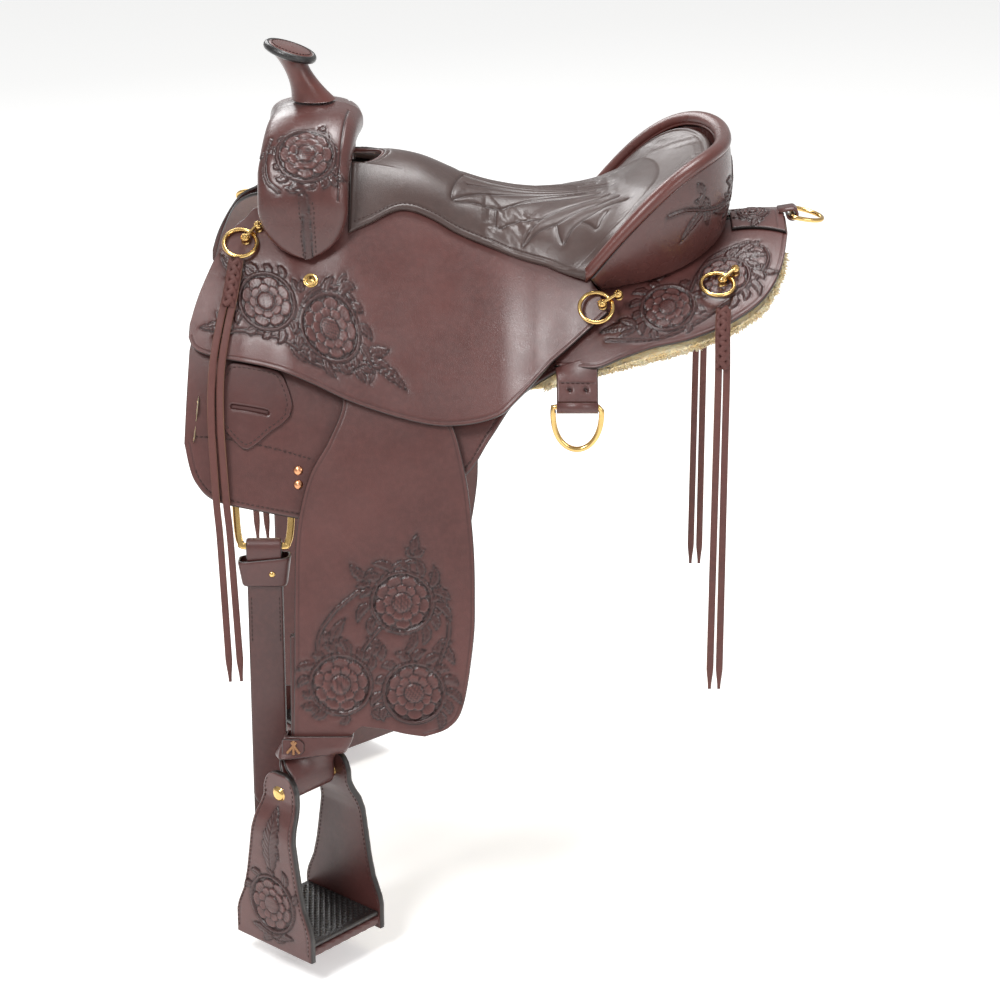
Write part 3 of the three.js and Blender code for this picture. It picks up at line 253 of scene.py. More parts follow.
BROWN = leather("brown_leather", (0.096, 0.034, 0.030), (0.014, 0.0032, 0.003), rough=0.34, coat=0.25)
STRAP = leather("strap_leather", (0.078, 0.025, 0.022), (0.014, 0.0032, 0.003), rough=0.34, coat=0.25)
SWELL = leather("swell_leather", (0.082, 0.026, 0.022), (0.014, 0.003, 0.003), rough=0.26, coat=0.45)
# The seat's base colour is made greyer than the brown leather as painted reflection.
SEAT = leather("seat_leather", (0.062, 0.036, 0.031), (0.022, 0.010, 0.008), rough=0.34, coat=0.26, pull=0.05)
GLOSS = leather("roll_leather", (0.100, 0.027, 0.021), (0.03, 0.007, 0.006), rough=0.3, coat=0.35)
BLACK = leather("black_leather", (0.012, 0.010, 0.010), (0.004, 0.004, 0.004), rough=0.28, coat=0.4,
                grain=1.6)
FLESH = leather("string_leather", (0.105, 0.034, 0.028), (0.05, 0.015, 0.01), rough=0.6, coat=0.0, grain=1.6,
                edge=(0.30, 0.17, 0.09))
THREAD = thread("thread", (0.055, 0.022, 0.018))
THONG = thread("thong", (0.36, 0.17, 0.07))
BRASS = metal("brass", (0.80, 0.53, 0.20))
COPPER = metal("copper", (0.82, 0.38, 0.20), 0.24)
FLEECE = wool("fleece", (1.0, 0.86, 0.56), (0.86, 0.60, 0.24))
RAWHIDE = hide("rawhide", (0.50, 0.38, 0.22))


# ---- Meshes ----------------------------------------------------------------------------------
def build(name, points, quads, material, body, marks=None, tris=None):
    """A mesh piece from arrays, in millimetres, that rides on a body."""
    mesh = bpy.data.meshes.new(name)
    quads, tris = face_arrays(quads, tris)
    loops = np.concatenate([quads.ravel(), tris.ravel()])
    sizes = np.concatenate([np.full(len(quads), 4), np.full(len(tris), 3)])
    mesh.vertices.add(len(points))
    mesh.vertices.foreach_set("co", (np.asarray(points, float) * MM).astype(np.float32).ravel())
    mesh.loops.add(len(loops))
    mesh.loops.foreach_set("vertex_index", loops.astype(np.int32))
    mesh.polygons.add(len(sizes))
    starts = np.concatenate([[0], np.cumsum(sizes)[:-1]])
    mesh.polygons.foreach_set("loop_start", starts.astype(np.int32))
    mesh.polygons.foreach_set("use_smooth", np.full(len(sizes), True))
    mesh.update(calc_edges=True)
    layer = mesh.attributes.new("mark", "FLOAT_COLOR", "POINT")
    values = np.zeros((len(points), 4), np.float32)
    values[:, 3] = 1
    if marks is not None:
        values[:, :3] = np.clip(marks, 0, 1)
    layer.data.foreach_set("color", values.ravel())
    mesh.validate()
    mesh.materials.append(material)
    obj = bpy.data.objects.new(name, mesh)
    bpy.context.scene.collection.objects.link(obj)
    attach(obj, body)
    return obj


def face_arrays(quads, tris):
    """Quads and triangles as whole-number arrays; tris may be left out."""
    tris = np.zeros((0, 3), np.int64) if tris is None else np.asarray(tris, np.int64).reshape(-1, 3)
    return np.asarray(quads, np.int64).reshape(-1, 4), tris


def outwards(points, quads, tris):
    """The faces turned so that they all look out of the closed shape."""
    corners = np.concatenate([quads[:, [0, 1, 2]], quads[:, [0, 2, 3]], tris]) if len(tris) else \
        np.concatenate([quads[:, [0, 1, 2]], quads[:, [0, 2, 3]]])
    a, b, c = (points[corners[:, k]] for k in range(3))
    if np.einsum("ij,ij->i", a, np.cross(b, c)).sum() < 0:
        return quads[:, ::-1], tris[:, ::-1]
    return quads, tris


def pair(name, points, quads, material, bodies, marks=None, tris=None, nodes=None):
    """The near piece and its mirror image on the off side; nodes name the CAD solids they stand for."""
    quads, tris = outwards(points, *face_arrays(quads, tris))
    made = []
    for side, turn in (("near", 1), ("off", -1)):
        placed = points * np.array([1, turn, 1])
        q, t = (quads, tris) if turn == 1 else (quads[:, ::-1], tris[:, ::-1])
        body = bodies if bodies == "saddle" else f"{bodies}_{side}"
        obj = build(f"{name}_{side}_visual", placed, q, material, body, marks, t)
        if nodes:
            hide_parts(*[f"{node}_{side}" for node in nodes])
        made.append(obj)
    return made


def single(name, points, quads, material, body, marks=None, tris=None, nodes=()):
    quads, tris = outwards(points, *face_arrays(quads, tris))
    obj = build(f"{name}_visual", points, quads, material, body, marks, tris)
    if nodes:
        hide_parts(*nodes)
    return obj


def unit(v):
    v = np.asarray(v, float)
    return v / np.maximum(np.linalg.norm(v, axis=-1, keepdims=True), 1e-12)


def smooth(t):
    t = np.clip(t, 0, 1)
    return t * t * (3 - 2 * t)


def lerp(a, b, t):
    return a + (b - a) * t


def spline(points, count=400):
    """Points evenly spaced along a smooth curve through the given ones."""
    p = np.asarray(points, float)
    t = np.linspace(0, len(p) - 1, 40 * len(p))
    k = np.minimum(t.astype(int), len(p) - 2)
    f = (t - k)[:, None]
    p0, p1, p2 = p[np.maximum(k - 1, 0)], p[k], p[k + 1]
    p3 = p[np.minimum(k + 2, len(p) - 1)]
    v0, v1 = (p2 - p0) / 2, (p3 - p1) / 2
    dense = ((2 * p1 - 2 * p2 + v0 + v1) * f ** 3 + (-3 * p1 + 3 * p2 - 2 * v0 - v1) * f ** 2 + v0 * f + p1)
    run = np.concatenate([[0], np.cumsum(np.linalg.norm(np.diff(dense, axis=0), axis=1))])
    even = np.linspace(0, run[-1], count + 1)
    return np.stack([np.interp(even, run, dense[:, i]) for i in range(p.shape[1])], 1)


def grid_quads(nu, nv, closed_u=False, closed_v=False, start=0):
    """Quads of a grid of nu by nv points."""
    across, down = nu if closed_u else nu - 1, nv if closed_v else nv - 1
    i, j = np.meshgrid(np.arange(across), np.arange(down), indexing="ij")
    i, j = i.ravel(), j.ravel()
    a, b = (i + 1) % nu, (j + 1) % nv
    return start + np.stack([i * nv + j, a * nv + j, a * nv + b, i * nv + b], 1)


def shell(inner, outer):
    """Points and quads of a closed skin over two grids: both faces and the wall round their border."""
    nu, nv = inner.shape[:2]
    count = nu * nv
    i, j = np.arange(nu), np.arange(nv)
    border = np.concatenate([i[:-1] * nv, (nu - 1) * nv + j[:-1], i[:0:-1] * nv + nv - 1, j[:0:-1]])
    after = np.roll(border, -1)
    wall = np.stack([border, border + count, after + count, after], 1)
    points = np.concatenate([inner.reshape(-1, 3), outer.reshape(-1, 3)])
    return points, np.concatenate([grid_quads(nu, nv), grid_quads(nu, nv, start=count)[:, ::-1], wall])


def section(count, power, other=None, start=0.5):
    """Angles round a section, with its cosines and sines raised to powers that square its corners."""
    angle = 2 * np.pi * (np.arange(count) + start) / count
    c, s = np.cos(angle), np.sin(angle)
    other = power if other is None else other
    return angle, np.sign(c) * np.abs(c) ** power, np.sign(s) * np.abs(s) ** other


def edge_round(d, radius=EDGE_RADIUS):
    """How far a face drops at a distance d from its rounded edge."""
    return radius * (1 - np.sqrt(1 - (1 - np.clip(d / radius, 0, 1)) ** 2))


def edge_mark(d):
    """The share of dark edge paint at a distance d from an edge."""
    return np.clip(1.4 - d / 0.9, 0, 1)


def loft(rings, closed=False):
    """Points, quads and cap triangles of a row of closed outlines."""
    rings = np.asarray(rings, float)
    nu, nv = rings.shape[:2]
    points = rings.reshape(-1, 3)
    quads = grid_quads(nu, nv, closed_u=closed, closed_v=True)
    tris = []
    if not closed:
        for ring, order in ((0, 1), (nu - 1, -1)):
            points = np.vstack([points, rings[ring].mean(0)])
            k = np.arange(nv)
            fan = np.stack([np.full(nv, len(points) - 1), ring * nv + (k + 1) % nv, ring * nv + k], 1)
            tris.append(fan if order == 1 else fan[:, ::-1])
    return points, quads, np.vstack(tris) if tris else np.zeros((0, 3), np.int64)


def merge(*shapes):
    """Several (points, quads, tris) as one."""
    points, quads, tris, start = [], [], [], 0
    for p, q, t in shapes:
        q, t = outwards(p, q, t)
        points.append(p)
        quads.append(q + start)
        tris.append(t + start)
        start += len(p)
    return np.vstack(points), np.vstack(quads), np.vstack(tris)


def tube(path, radius, count=12, up=(0, 0, 1), flat=1.0):
    """A round or flattened tube along a path; radius may be a list."""
    path = np.asarray(path, float)
    ahead = unit(np.gradient(path, axis=0))
    up = np.broadcast_to(np.asarray(up, float), path.shape)
    side = unit(np.cross(ahead, up))
    lift = np.cross(side, ahead)
    _, c, s = section(count, 1.0, start=0)
    r = np.broadcast_to(np.asarray(radius, float), (len(path),))[:, None, None]
    rings = path[:, None] + r * (c[:, None] * side[:, None] + flat * s[:, None] * lift[:, None])
    return loft(rings)


def lathe(profile, centre, axis, count=32, side=None):
    """A turned piece: profile is (radius, height) along the axis."""
    axis = unit(axis)
    side = unit(np.cross(axis, (0.3, 1, 0.2) if side is None else side))
    other = np.cross(axis, side)
    angle = 2 * np.pi * np.arange(count) / count
    around = np.cos(angle)[:, None] * side + np.sin(angle)[:, None] * other
    rings = [np.asarray(centre) + h * axis + max(r, 0.01) * around for r, h in profile]
    return loft(rings)


# ---- The horse's back and what lies on it ------------------------------------------------------
FRONT_X = -348.0
REAR_X = round(high("skirt_near")[0]) + 4.0
SWELL_X = -220.0
SEAT_FRONT_X = -170.0
CANTLE_X = 95.0
WITHER_RISE, LOIN_RISE = 95.0, 34.0
BEND, LOWER_BEND = 250.0, 70.0
JOCKEY_DROP, SKIRT_DROP = 250.0, 398.0
SKIRT_THICKNESS, LEATHER = 5.0, 4.0
REAR_JOCKEY_LIFT = SKIRT_THICKNESS + 2.3
FENDER_THICKNESS = 5.0
FENDER_LIFT = SKIRT_THICKNESS + 7
JOCKEY_FRONT_LIFT = 13.0
JOCKEY_LIFT = FENDER_LIFT + FENDER_THICKNESS + 7
JOCKEY_REAR_LIFT = REAR_JOCKEY_LIFT + LEATHER + 4


def ridge(x):
    front = WITHER_RISE * smooth(x / -330)
    rear = 0.53 * LOIN_RISE * smooth(x / 110) + 0.47 * LOIN_RISE * smooth((x - 110) / 220)
    return np.where(x < 0, front, rear)


def profile(x, s, flap=76.0):
    """Distance out, height and slope at a distance s down the horse's side."""
    x, s = (np.asarray(v, float) for v in np.broadcast_arrays(x, s))
    wither, loin = smooth(x / -330), smooth(x / 150)
    slopes = [np.radians(18 + 16 * wither - 10 * loin), np.radians(66 - 10 * loin), np.radians(flap) + 0 * x]
    out, z, slope, left = 0 * s, ridge(x), slopes[0].copy(), s.copy()
    for a, b, length in ((slopes[0], slopes[1], BEND), (slopes[1], slopes[2], LOWER_BEND)):
        bend = (b - a) / length
        part = np.clip(left, 0, length)
        slope = np.where(left > 0, a + bend * part, slope)
        at = a + bend * part
        out = out + (np.sin(at) - np.sin(a)) / bend
        z = z - (np.cos(a) - np.cos(at)) / bend
        left = left - length
    rest = np.clip(left, 0, None)
    return out + rest * np.cos(slope), z - rest * np.sin(slope), slope


def on_back(x, s, lift=0.0, flap=76.0):
    out, z, slope = profile(x, s, flap)
    x = np.broadcast_to(x, out.shape)
    return np.stack([x, -(out + lift * np.sin(slope)), z + lift * np.cos(slope)], -1)


def jockey_lift(x):
    front = lerp(JOCKEY_FRONT_LIFT, JOCKEY_LIFT, smooth((x + 290) / 60))
    return lerp(front, JOCKEY_REAR_LIFT, smooth((x - CANTLE_X + 55) / 50))


SEAT_LINE = spline([
    [SEAT_FRONT_X - 10, 114], [SEAT_FRONT_X + 21, 111], [SEAT_FRONT_X + 75, 98], [SEAT_FRONT_X + 129, 75],
    [CANTLE_X - 86, 62], [CANTLE_X - 40, 58], [CANTLE_X + 30, 64],
])
DRAPE = 190.0


def seat_height(x):
    return np.interp(x, SEAT_LINE[:, 0], SEAT_LINE[:, 1])


def under_seat(x, s):
    """The underside of the jockeys and the seat, draped from the centre line to the side."""
    x, s = (np.asarray(v, float) for v in np.broadcast_arrays(x, s))
    lift = jockey_lift(x)
    lying = on_back(x, s, lift)
    end = on_back(x, 0 * x + DRAPE, lift)
    slope = profile(x, 0 * x + DRAPE)[2]
    wide = smooth((x - CANTLE_X + 115) / 110)
    reach, pull = 60 + 45 * wide, 75 - 30 * wide
    top = seat_height(x)
    t = np.clip(s / DRAPE, 0, 1)
    b = [(1 - t) ** 3, 3 * (1 - t) ** 2 * t, 3 * (1 - t) * t ** 2, t ** 3]
    ys = (0 * x, reach, -end[..., 1] - pull * np.cos(slope), -end[..., 1])
    zs = (top, top, end[..., 2] + pull * np.sin(slope), end[..., 2])
    y = -sum(w * v for w, v in zip(b, ys))
    z = sum(w * v for w, v in zip(b, zs))
    share = np.where(s >= DRAPE, 0, smooth((x - SEAT_FRONT_X + 65) / 65))
    return np.stack([x, lerp(lying[..., 1], y, share), lerp(lying[..., 2], z, share)], -1)


LEG_X = -165.0


def on_leg(x, s, lift=0.0):
    x, s = (np.asarray(v, float) for v in np.broadcast_arrays(x, s))
    p = on_back(0 * x + LEG_X, s, lift, 78.0)
    return np.stack([x, p[..., 1], p[..., 2]], -1)


def between(upper, lower, step):
    """A grid of (x, s) between an upper and a lower edge, with steps of about the given size."""
    a, b = spline(upper, 60), spline(lower, 60)
    length = max(np.linalg.norm(np.diff(e, axis=0), axis=1).sum() for e in (a, b))
    nu = int(length / step)
    a, b = spline(upper, nu), spline(lower, nu)
    nv = int(np.linalg.norm(a - b, axis=1).max() / step)
    v = np.linspace(0, 1, nv + 1)[None, :, None]
    grid = a[:, None] * (1 - v) + b[:, None] * v
    return grid[..., 0], grid[..., 1]


def edge_distance(p):
    """Distance of each grid point from the nearest edge of the grid, along the grid's lines."""
    def from_ends(axis):
        d = np.linalg.norm(np.diff(p, axis=axis), axis=-1)
        run = np.concatenate([np.zeros_like(np.take(d, [0], axis)), np.cumsum(d, axis)], axis)
        total = np.take(run, [-1], axis)
        return np.minimum(run, total - run)
    return np.minimum(from_ends(0), from_ends(1))


def sheet(p, thickness, height=None, marks=None, shoulder=EDGE_RADIUS, out=(0, -1, 0.6)):
    """A closed sheet on a grid of points: p is its inner face, and tooling raises its outer face."""
    du, dv = np.gradient(p, axis=0), np.gradient(p, axis=1)
    normal = unit(np.cross(du, dv))
    turn = np.sign((normal * np.asarray(out, float)).sum(-1).mean())
    normal = normal * (turn if turn else 1)
    d = edge_distance(p)
    near = np.clip(d / shoulder, 0, 1)
    rise = thickness - edge_round(d, shoulder) + (0 if height is None else height * near)
    points, quads = shell(p, p + normal * rise[..., None])
    flags = np.zeros((2, *p.shape))
    if marks is not None:
        flags[1] = marks
    flags[1, ..., 1] = np.maximum(flags[1, ..., 1], edge_mark(d))
    flags[0, ..., 1] = 1 - smooth(d / 2)
    return points, quads, flags.reshape(-1, 3)


def normals_along(surface, path, lift):
    """Points at a lift over a surface along a path of (x, s), and the surface's normals there."""
    x, s = path[:, 0], path[:, 1]
    e = 0.5
    alongs = surface(x + e, s) - surface(x - e, s)
    downs = surface(x, s + e) - surface(x, s - e)
    normal = unit(np.cross(downs, alongs))
    return surface(x, s) + normal * lift, normal


# ---- Stitches ----------------------------------------------------------------------------------
def stitches(path, normals, pitch=5.6, length=4.3, radius=0.62):
    """A row of stitches that stand on a path of points, as (points, quads, tris)."""
    run = np.concatenate([[0], np.cumsum(np.linalg.norm(np.diff(path, axis=0), axis=1))])
    starts = np.arange(0.6, run[-1] - length, pitch)
    at = np.linspace(0, 1, 5)
    heights = np.array([-0.7, 0.25, 0.45, 0.25, -0.7]) * radius
    widths = np.array([0.45, 0.95, 1.0, 0.95, 0.45]) * radius
    where = starts[:, None] + at[None] * length
    point = np.stack([np.interp(where, run, path[:, k]) for k in range(3)], -1)
    normal = unit(np.stack([np.interp(where, run, normals[:, k]) for k in range(3)], -1))
    ahead = unit(point[:, -1:] - point[:, :1])
    side = np.cross(ahead, normal)
    angle = 2 * np.pi * np.arange(6) / 6
    rings = (point + normal * heights[:, None])[:, :, None] + widths[:, None, None] * (
        np.cos(angle)[:, None] * side[:, :, None] + np.sin(angle)[:, None] * normal[:, :, None])
    count = len(starts)
    points = rings.reshape(-1, 3)
    one = grid_quads(5, 6, closed_v=True)
    quads = (one[None] + 30 * np.arange(count)[:, None, None]).reshape(-1, 4)
    ends = np.array([
        [0, 2, 1], [0, 3, 2], [0, 4, 3], [0, 5, 4], [24, 25, 26], [24, 26, 27], [24, 27, 28], [24, 28, 29],
    ])
    tris = (ends[None] + 30 * np.arange(count)[:, None, None]).reshape(-1, 3)
    return points, quads, tris


def stitch_row(name, path, normals, body="saddle", both=True, material=None, **sizes):
    points, quads, tris = stitches(path, normals, **sizes)
    if both:
        return pair(name, points, quads, material or THREAD, body, tris=tris)
    return single(name, points, quads, material or THREAD, body, tris=tris)


# ---- Tooling -----------------------------------------------------------------------------------
class Tooling:
    """Floral carving on a flat patch with coordinates a and b in millimetres: heights and dark recesses."""

    def __init__(self, a, b):
        self.a, self.b = a, b
        self.height = np.zeros_like(a)
        self.dark = np.zeros_like(a)
        self.ground = np.zeros_like(a)

    def near(self, points, margin):
        lo, hi = points.min(0) - margin, points.max(0) + margin
        inside = (self.a > lo[0]) & (self.a < hi[0]) & (self.b > lo[1]) & (self.b < hi[1])
        return np.nonzero(inside)

    def distance(self, index, line):
        """Distance to a line, its signed side and the share of the way along it."""
        q = np.stack([self.a[index], self.b[index]], -1)
        best = np.full(len(q), 1e9)
        side, share = np.zeros(len(q)), np.zeros(len(q))
        for k in range(len(line) - 1):
            p, d = line[k], line[k + 1] - line[k]
            t = np.clip(((q - p) @ d) / max(d @ d, 1e-9), 0, 1)
            gap = q - p - t[:, None] * d
            dist = np.hypot(gap[:, 0], gap[:, 1])
            closer = dist < best
            best = np.where(closer, dist, best)
            side = np.where(closer, np.sign(d[0] * gap[:, 1] - d[1] * gap[:, 0]) * dist, side)
            share = np.where(closer, (k + t) / (len(line) - 1), share)
        return best, side, share

    def groove(self, points, width=0.9, depth=0.7, dark=0.75, count=24):
        line = spline(points, count)
        index = self.near(line, 4 * width)
        d = self.distance(index, line)[0]
        cut = np.exp(-(d / width) ** 2)
        self.height[index] -= depth * cut
        self.dark[index] = np.maximum(self.dark[index], dark * cut)

    def stem(self, points, width=2.6, count=24, taper=False):
        """A raised round stem with a cut on each side."""
        line = spline(points, count)
        index = self.near(line, 3 * width)
        d, _, share = self.distance(index, line)
        w = width * (1 - 0.7 * share if taper else 1)
        body = np.sqrt(np.clip(1 - (d / w) ** 2, 0, 1))
        cut = np.exp(-((d - w) / 0.8) ** 2)
        self.height[index] = np.where(d < w, 0.75 * body, self.height[index]) - 0.65 * cut * (d >= w - 0.5)
        self.dark[index] = np.maximum(np.where(d < w * 0.75, 0, self.dark[index]), 0.85 * cut)
        self.ground[index] = np.maximum(self.ground[index], np.exp(-np.clip(d - w, 0, None) / 3.2))

    def leaf(self, points, width, lobes=5, count=22):
        """A carved leaf: a pointed outline with lobes, a groove along its middle and slanting veins."""
        line = spline(points, count)
        index = self.near(line, 1.8 * width)
        d, side, share = self.distance(index, line)
        outline = width * np.sin(np.pi * np.clip(share, 0.02, 0.98) ** 0.8) ** 0.8
        outline = outline * (0.78 + 0.22 * np.abs(np.sin(lobes * np.pi * share)))
        inside = d < outline
        dome = np.sqrt(np.clip(1 - (d / np.maximum(outline, 0.1)) ** 2, 0, 1))
        vein = np.exp(-(d / 0.75) ** 2)
        slant = np.abs(np.sin(lobes * np.pi * (share - 0.012 * np.abs(side)) * 2)) ** 6
        rise = 0.8 * dome - 0.6 * vein - 0.3 * slant * (d > 1)
        cut = np.exp(-((d - outline) / 0.8) ** 2) * (share > 0.01)
        self.height[index] = np.where(inside, rise, self.height[index]) - 0.65 * cut * ~inside
        fresh = np.where(inside, 0.6 * vein + 0.35 * slant, self.dark[index])
        self.dark[index] = np.maximum(fresh, 0.9 * cut)
        self.ground[index] = np.maximum(self.ground[index], np.exp(-np.clip(d - outline, 0, None) / 3.0))

    def flower(self, centre, radius, petals=7, turn=0.0, ring=True):
        """An open flower in a round stem: seeds, an inner and an outer row of petals, and matted ground."""
        centre = np.asarray(centre, float)
        index = self.near(centre[None], radius * 1.25)
        q = np.stack([self.a[index], self.b[index]], -1) - centre
        r, angle = np.hypot(q[:, 0], q[:, 1]), np.arctan2(q[:, 1], q[:, 0]) + turn
        rows = []
        for share, lobe, shift in ((0.88, 0.17, 0.0), (0.60, 0.12, 0.5)):
            wave = np.abs(np.sin(petals * (angle / 2 + shift * np.pi / petals))) ** 0.55
            rows.append((radius * (share - lobe + lobe * wave), shift))
        h, dark = np.full(len(r), -0.75), np.full(len(r), 0.62)
        grit = np.sin(q[:, 0] * 2.6) * np.sin(q[:, 1] * 2.9)
        h += 0.12 * grit
        dark += 0.2 * grit
        for (edge, shift), inner, base in zip(rows, (0.42, 0.2), (0.25, 0.55)):
            inside = r < edge
            cup = ((r - inner * radius) / (edge - inner * radius + 1e-6)).clip(0, 1)
            cleft = np.exp(-(np.sin(petals * (angle / 2 + shift * np.pi / petals)) / 0.16) ** 2)
            veins = 0.12 * np.cos(petals * 5 * angle) * (cup < 0.8)
            h = np.where(inside, base + 0.65 * cup ** 2 - 0.7 * cleft + veins - 0.25, h)
            dark = np.where(inside, 0.75 * (1 - cup) ** 1.3 + 0.8 * cleft, dark)
            cut = np.exp(-((r - edge) / 0.75) ** 2) * (r >= edge - 0.4)
            h -= 0.6 * cut
            dark = np.maximum(dark, 0.95 * cut)
        seeds = r < 0.31 * radius
        bead = np.abs(np.cos(q[:, 0] * np.pi / 2.4) * np.cos(q[:, 1] * np.pi / 2.4)) ** 0.7
        crown = np.sqrt(np.clip(1 - (r / (0.33 * radius)) ** 2, 0, 1))
        h = np.where(seeds, 0.5 + 0.7 * crown + 0.45 * bead, h)
        dark = np.where(seeds, 0.75 * (1 - bead), dark)
        collar = np.exp(-((r - 0.32 * radius) / 0.7) ** 2)
        h -= 0.7 * collar
        dark = np.maximum(dark, 0.9 * collar)
        inside = r < radius
        self.height[index] = np.where(inside, h, self.height[index])
        self.dark[index] = np.where(inside, dark, self.dark[index])
        self.ground[index] = np.where(inside, 0, self.ground[index])
        if ring:
            around = np.linspace(0, 2 * np.pi, 41)
            circle = centre + radius * 0.98 * np.stack([np.cos(around), np.sin(around)], 1)
            self.stem(circle, 2.2, 40)
            around_rope = np.abs(np.sin(angle * radius * 0.42 + 1.3 * (r - radius))) ** 4
            on_ring = np.exp(-((r - 0.98 * radius) / 1.4) ** 2)
            self.height[index] -= 0.4 * around_rope * on_ring
            self.dark[index] = np.maximum(self.dark[index], 0.7 * around_rope * on_ring)

    def wreath(self, centre, radius, first, last, count, length=20.0, curl=0.5):
        """Leaves that curl away from a flower's ring between two angles in degrees."""
        for k, turn in enumerate(np.linspace(first, last, count)):
            angle = math.radians(turn)
            out = np.array([math.cos(angle), math.sin(angle)])
            side = np.array([-out[1], out[0]]) * (1 if curl > 0 else -1)
            points = [np.asarray(centre, float) + out * radius * 1.05]
            reach = length * (1 + 0.25 * math.sin(2.1 * k))
            for step in range(1, 5):
                share = step / 4
                bend = side * abs(curl) * share ** 2
                points.append(points[0] + reach * (share * out * (1 - 0.35 * share) + bend))
            self.leaf(points, 5.2, 4)

    def sprig(self, start, heading, length, curl, width=5.5, leaves=3, spread=0.5):
        """Leaves that fan from a point: heading in degrees, each bending by curl."""
        for k in range(leaves):
            share = k / max(leaves - 1, 1) - 0.5
            angle = math.radians(heading) + share * spread * 2
            reach = length * (1 - 0.45 * abs(share) * 2)
            points = [np.asarray(start, float)]
            for _ in range(4):
                angle += curl * (0.25 + 0.4 * share)
                points.append(points[-1] + reach / 4 * np.array([math.cos(angle), math.sin(angle)]))
            self.leaf(points, width * (1 - 0.25 * abs(share)), 4)

    def finish(self):
        """The patch's heights with its ground beaten down round the carving, and its marks."""
        ground = np.clip(self.ground, 0, 1) * (self.dark < 0.99)
        rise = self.height - 0.35 * ground * (self.height > -0.3) * (self.height < 0.05)
        marks = np.zeros((*self.a.shape, 3))
        marks[..., 0] = np.clip(1.2 * np.maximum(self.dark, 0.5 * ground ** 1.3), 0, 1)
        # Painted highlight: raised carving is lightened in the blue mark as if it caught the light.
        marks[..., 2] = np.clip(0.4 * self.height, 0, 0.32)
        return RELIEF * rise, marks


def offset(path, distance):
    """A flat path moved to its left by a distance."""
    ahead = unit(np.gradient(path, axis=0))
    return path + distance * np.stack([-ahead[:, 1], ahead[:, 0]], 1)


# ---- Skirts and fleece -------------------------------------------------------------------------
SKIRT_UPPER = [
    [FRONT_X, 226], [FRONT_X + 18, 150], [FRONT_X + 45, 80], [FRONT_X + 90, 48], [SEAT_FRONT_X, 40],
    [CANTLE_X - 95, 26], [CANTLE_X, 12], [REAR_X - 70, 6], [REAR_X - 4, 6],
]
SKIRT_LOWER = [
    [FRONT_X - 6, 330], [FRONT_X + 6, SKIRT_DROP - 24], [FRONT_X + 38, SKIRT_DROP],
    [FRONT_X + 121, SKIRT_DROP],
    [SEAT_FRONT_X - 20, SKIRT_DROP - 18], [SEAT_FRONT_X + 70, SKIRT_DROP - 48],
    [SEAT_FRONT_X + 131, SKIRT_DROP - 100], [SEAT_FRONT_X + 160, SKIRT_DROP - 145],
    [SEAT_FRONT_X + 190, 212], [CANTLE_X - 35, 198], [CANTLE_X + 20, 196], [CANTLE_X + 76, 186],
    [CANTLE_X + 118, 178], [CANTLE_X + 166, 160], [CANTLE_X + 200, 134], [CANTLE_X + 220, 92],
    [REAR_X - 4, 50],
]
LOCK_COUNT = 3000
RIVETS = ((-226.0, 343.0), (-226.0, 359.0))


def rivet(centre, normal, radius=5.4, height=2.4):
    dome = [(0, height), (radius * 0.45, height * 0.93), (radius * 0.8, height * 0.6)]
    dome += [(radius, 0.15), (radius, -1), (0, -1)]
    return lathe(dome, centre, normal, 20)


def make_skirts():
    x, s = between(SKIRT_UPPER, SKIRT_LOWER, 3.0)
    p = on_back(x, s)
    rows = Tooling(x, s)
    edge = offset(spline(SKIRT_LOWER, 220), -6)
    rows.groove(edge, 0.8, 0.35, 0.35, 160)
    seam = spline([[FRONT_X + 5, 322], [FRONT_X + 60, 325], [FRONT_X + 140, 326]], 60)
    rows.groove(seam, 0.8, 0.35, 0.4)
    rise, marks = rows.finish()
    points, quads, marks = sheet(p, SKIRT_THICKNESS, rise, marks)
    pair("skirt", points, quads, BROWN, "saddle", marks, nodes=["skirt"])
    for name, path in (("skirt_edge_stitches", edge[8:-12]), ("skirt_seam_stitches", seam)):
        at, normal = normals_along(on_back, path, SKIRT_THICKNESS)
        stitch_row(name, at, normal)
    heads = []
    for x0, s0 in RIVETS:
        at, normal = normals_along(on_back, np.array([[x0, s0]]), SKIRT_THICKNESS)
        heads.append(rivet(at[0], normal[0]))
    points, quads, tris = merge(*heads)
    pair("skirt_rivets", points, quads, COPPER, "saddle", tris=tris)


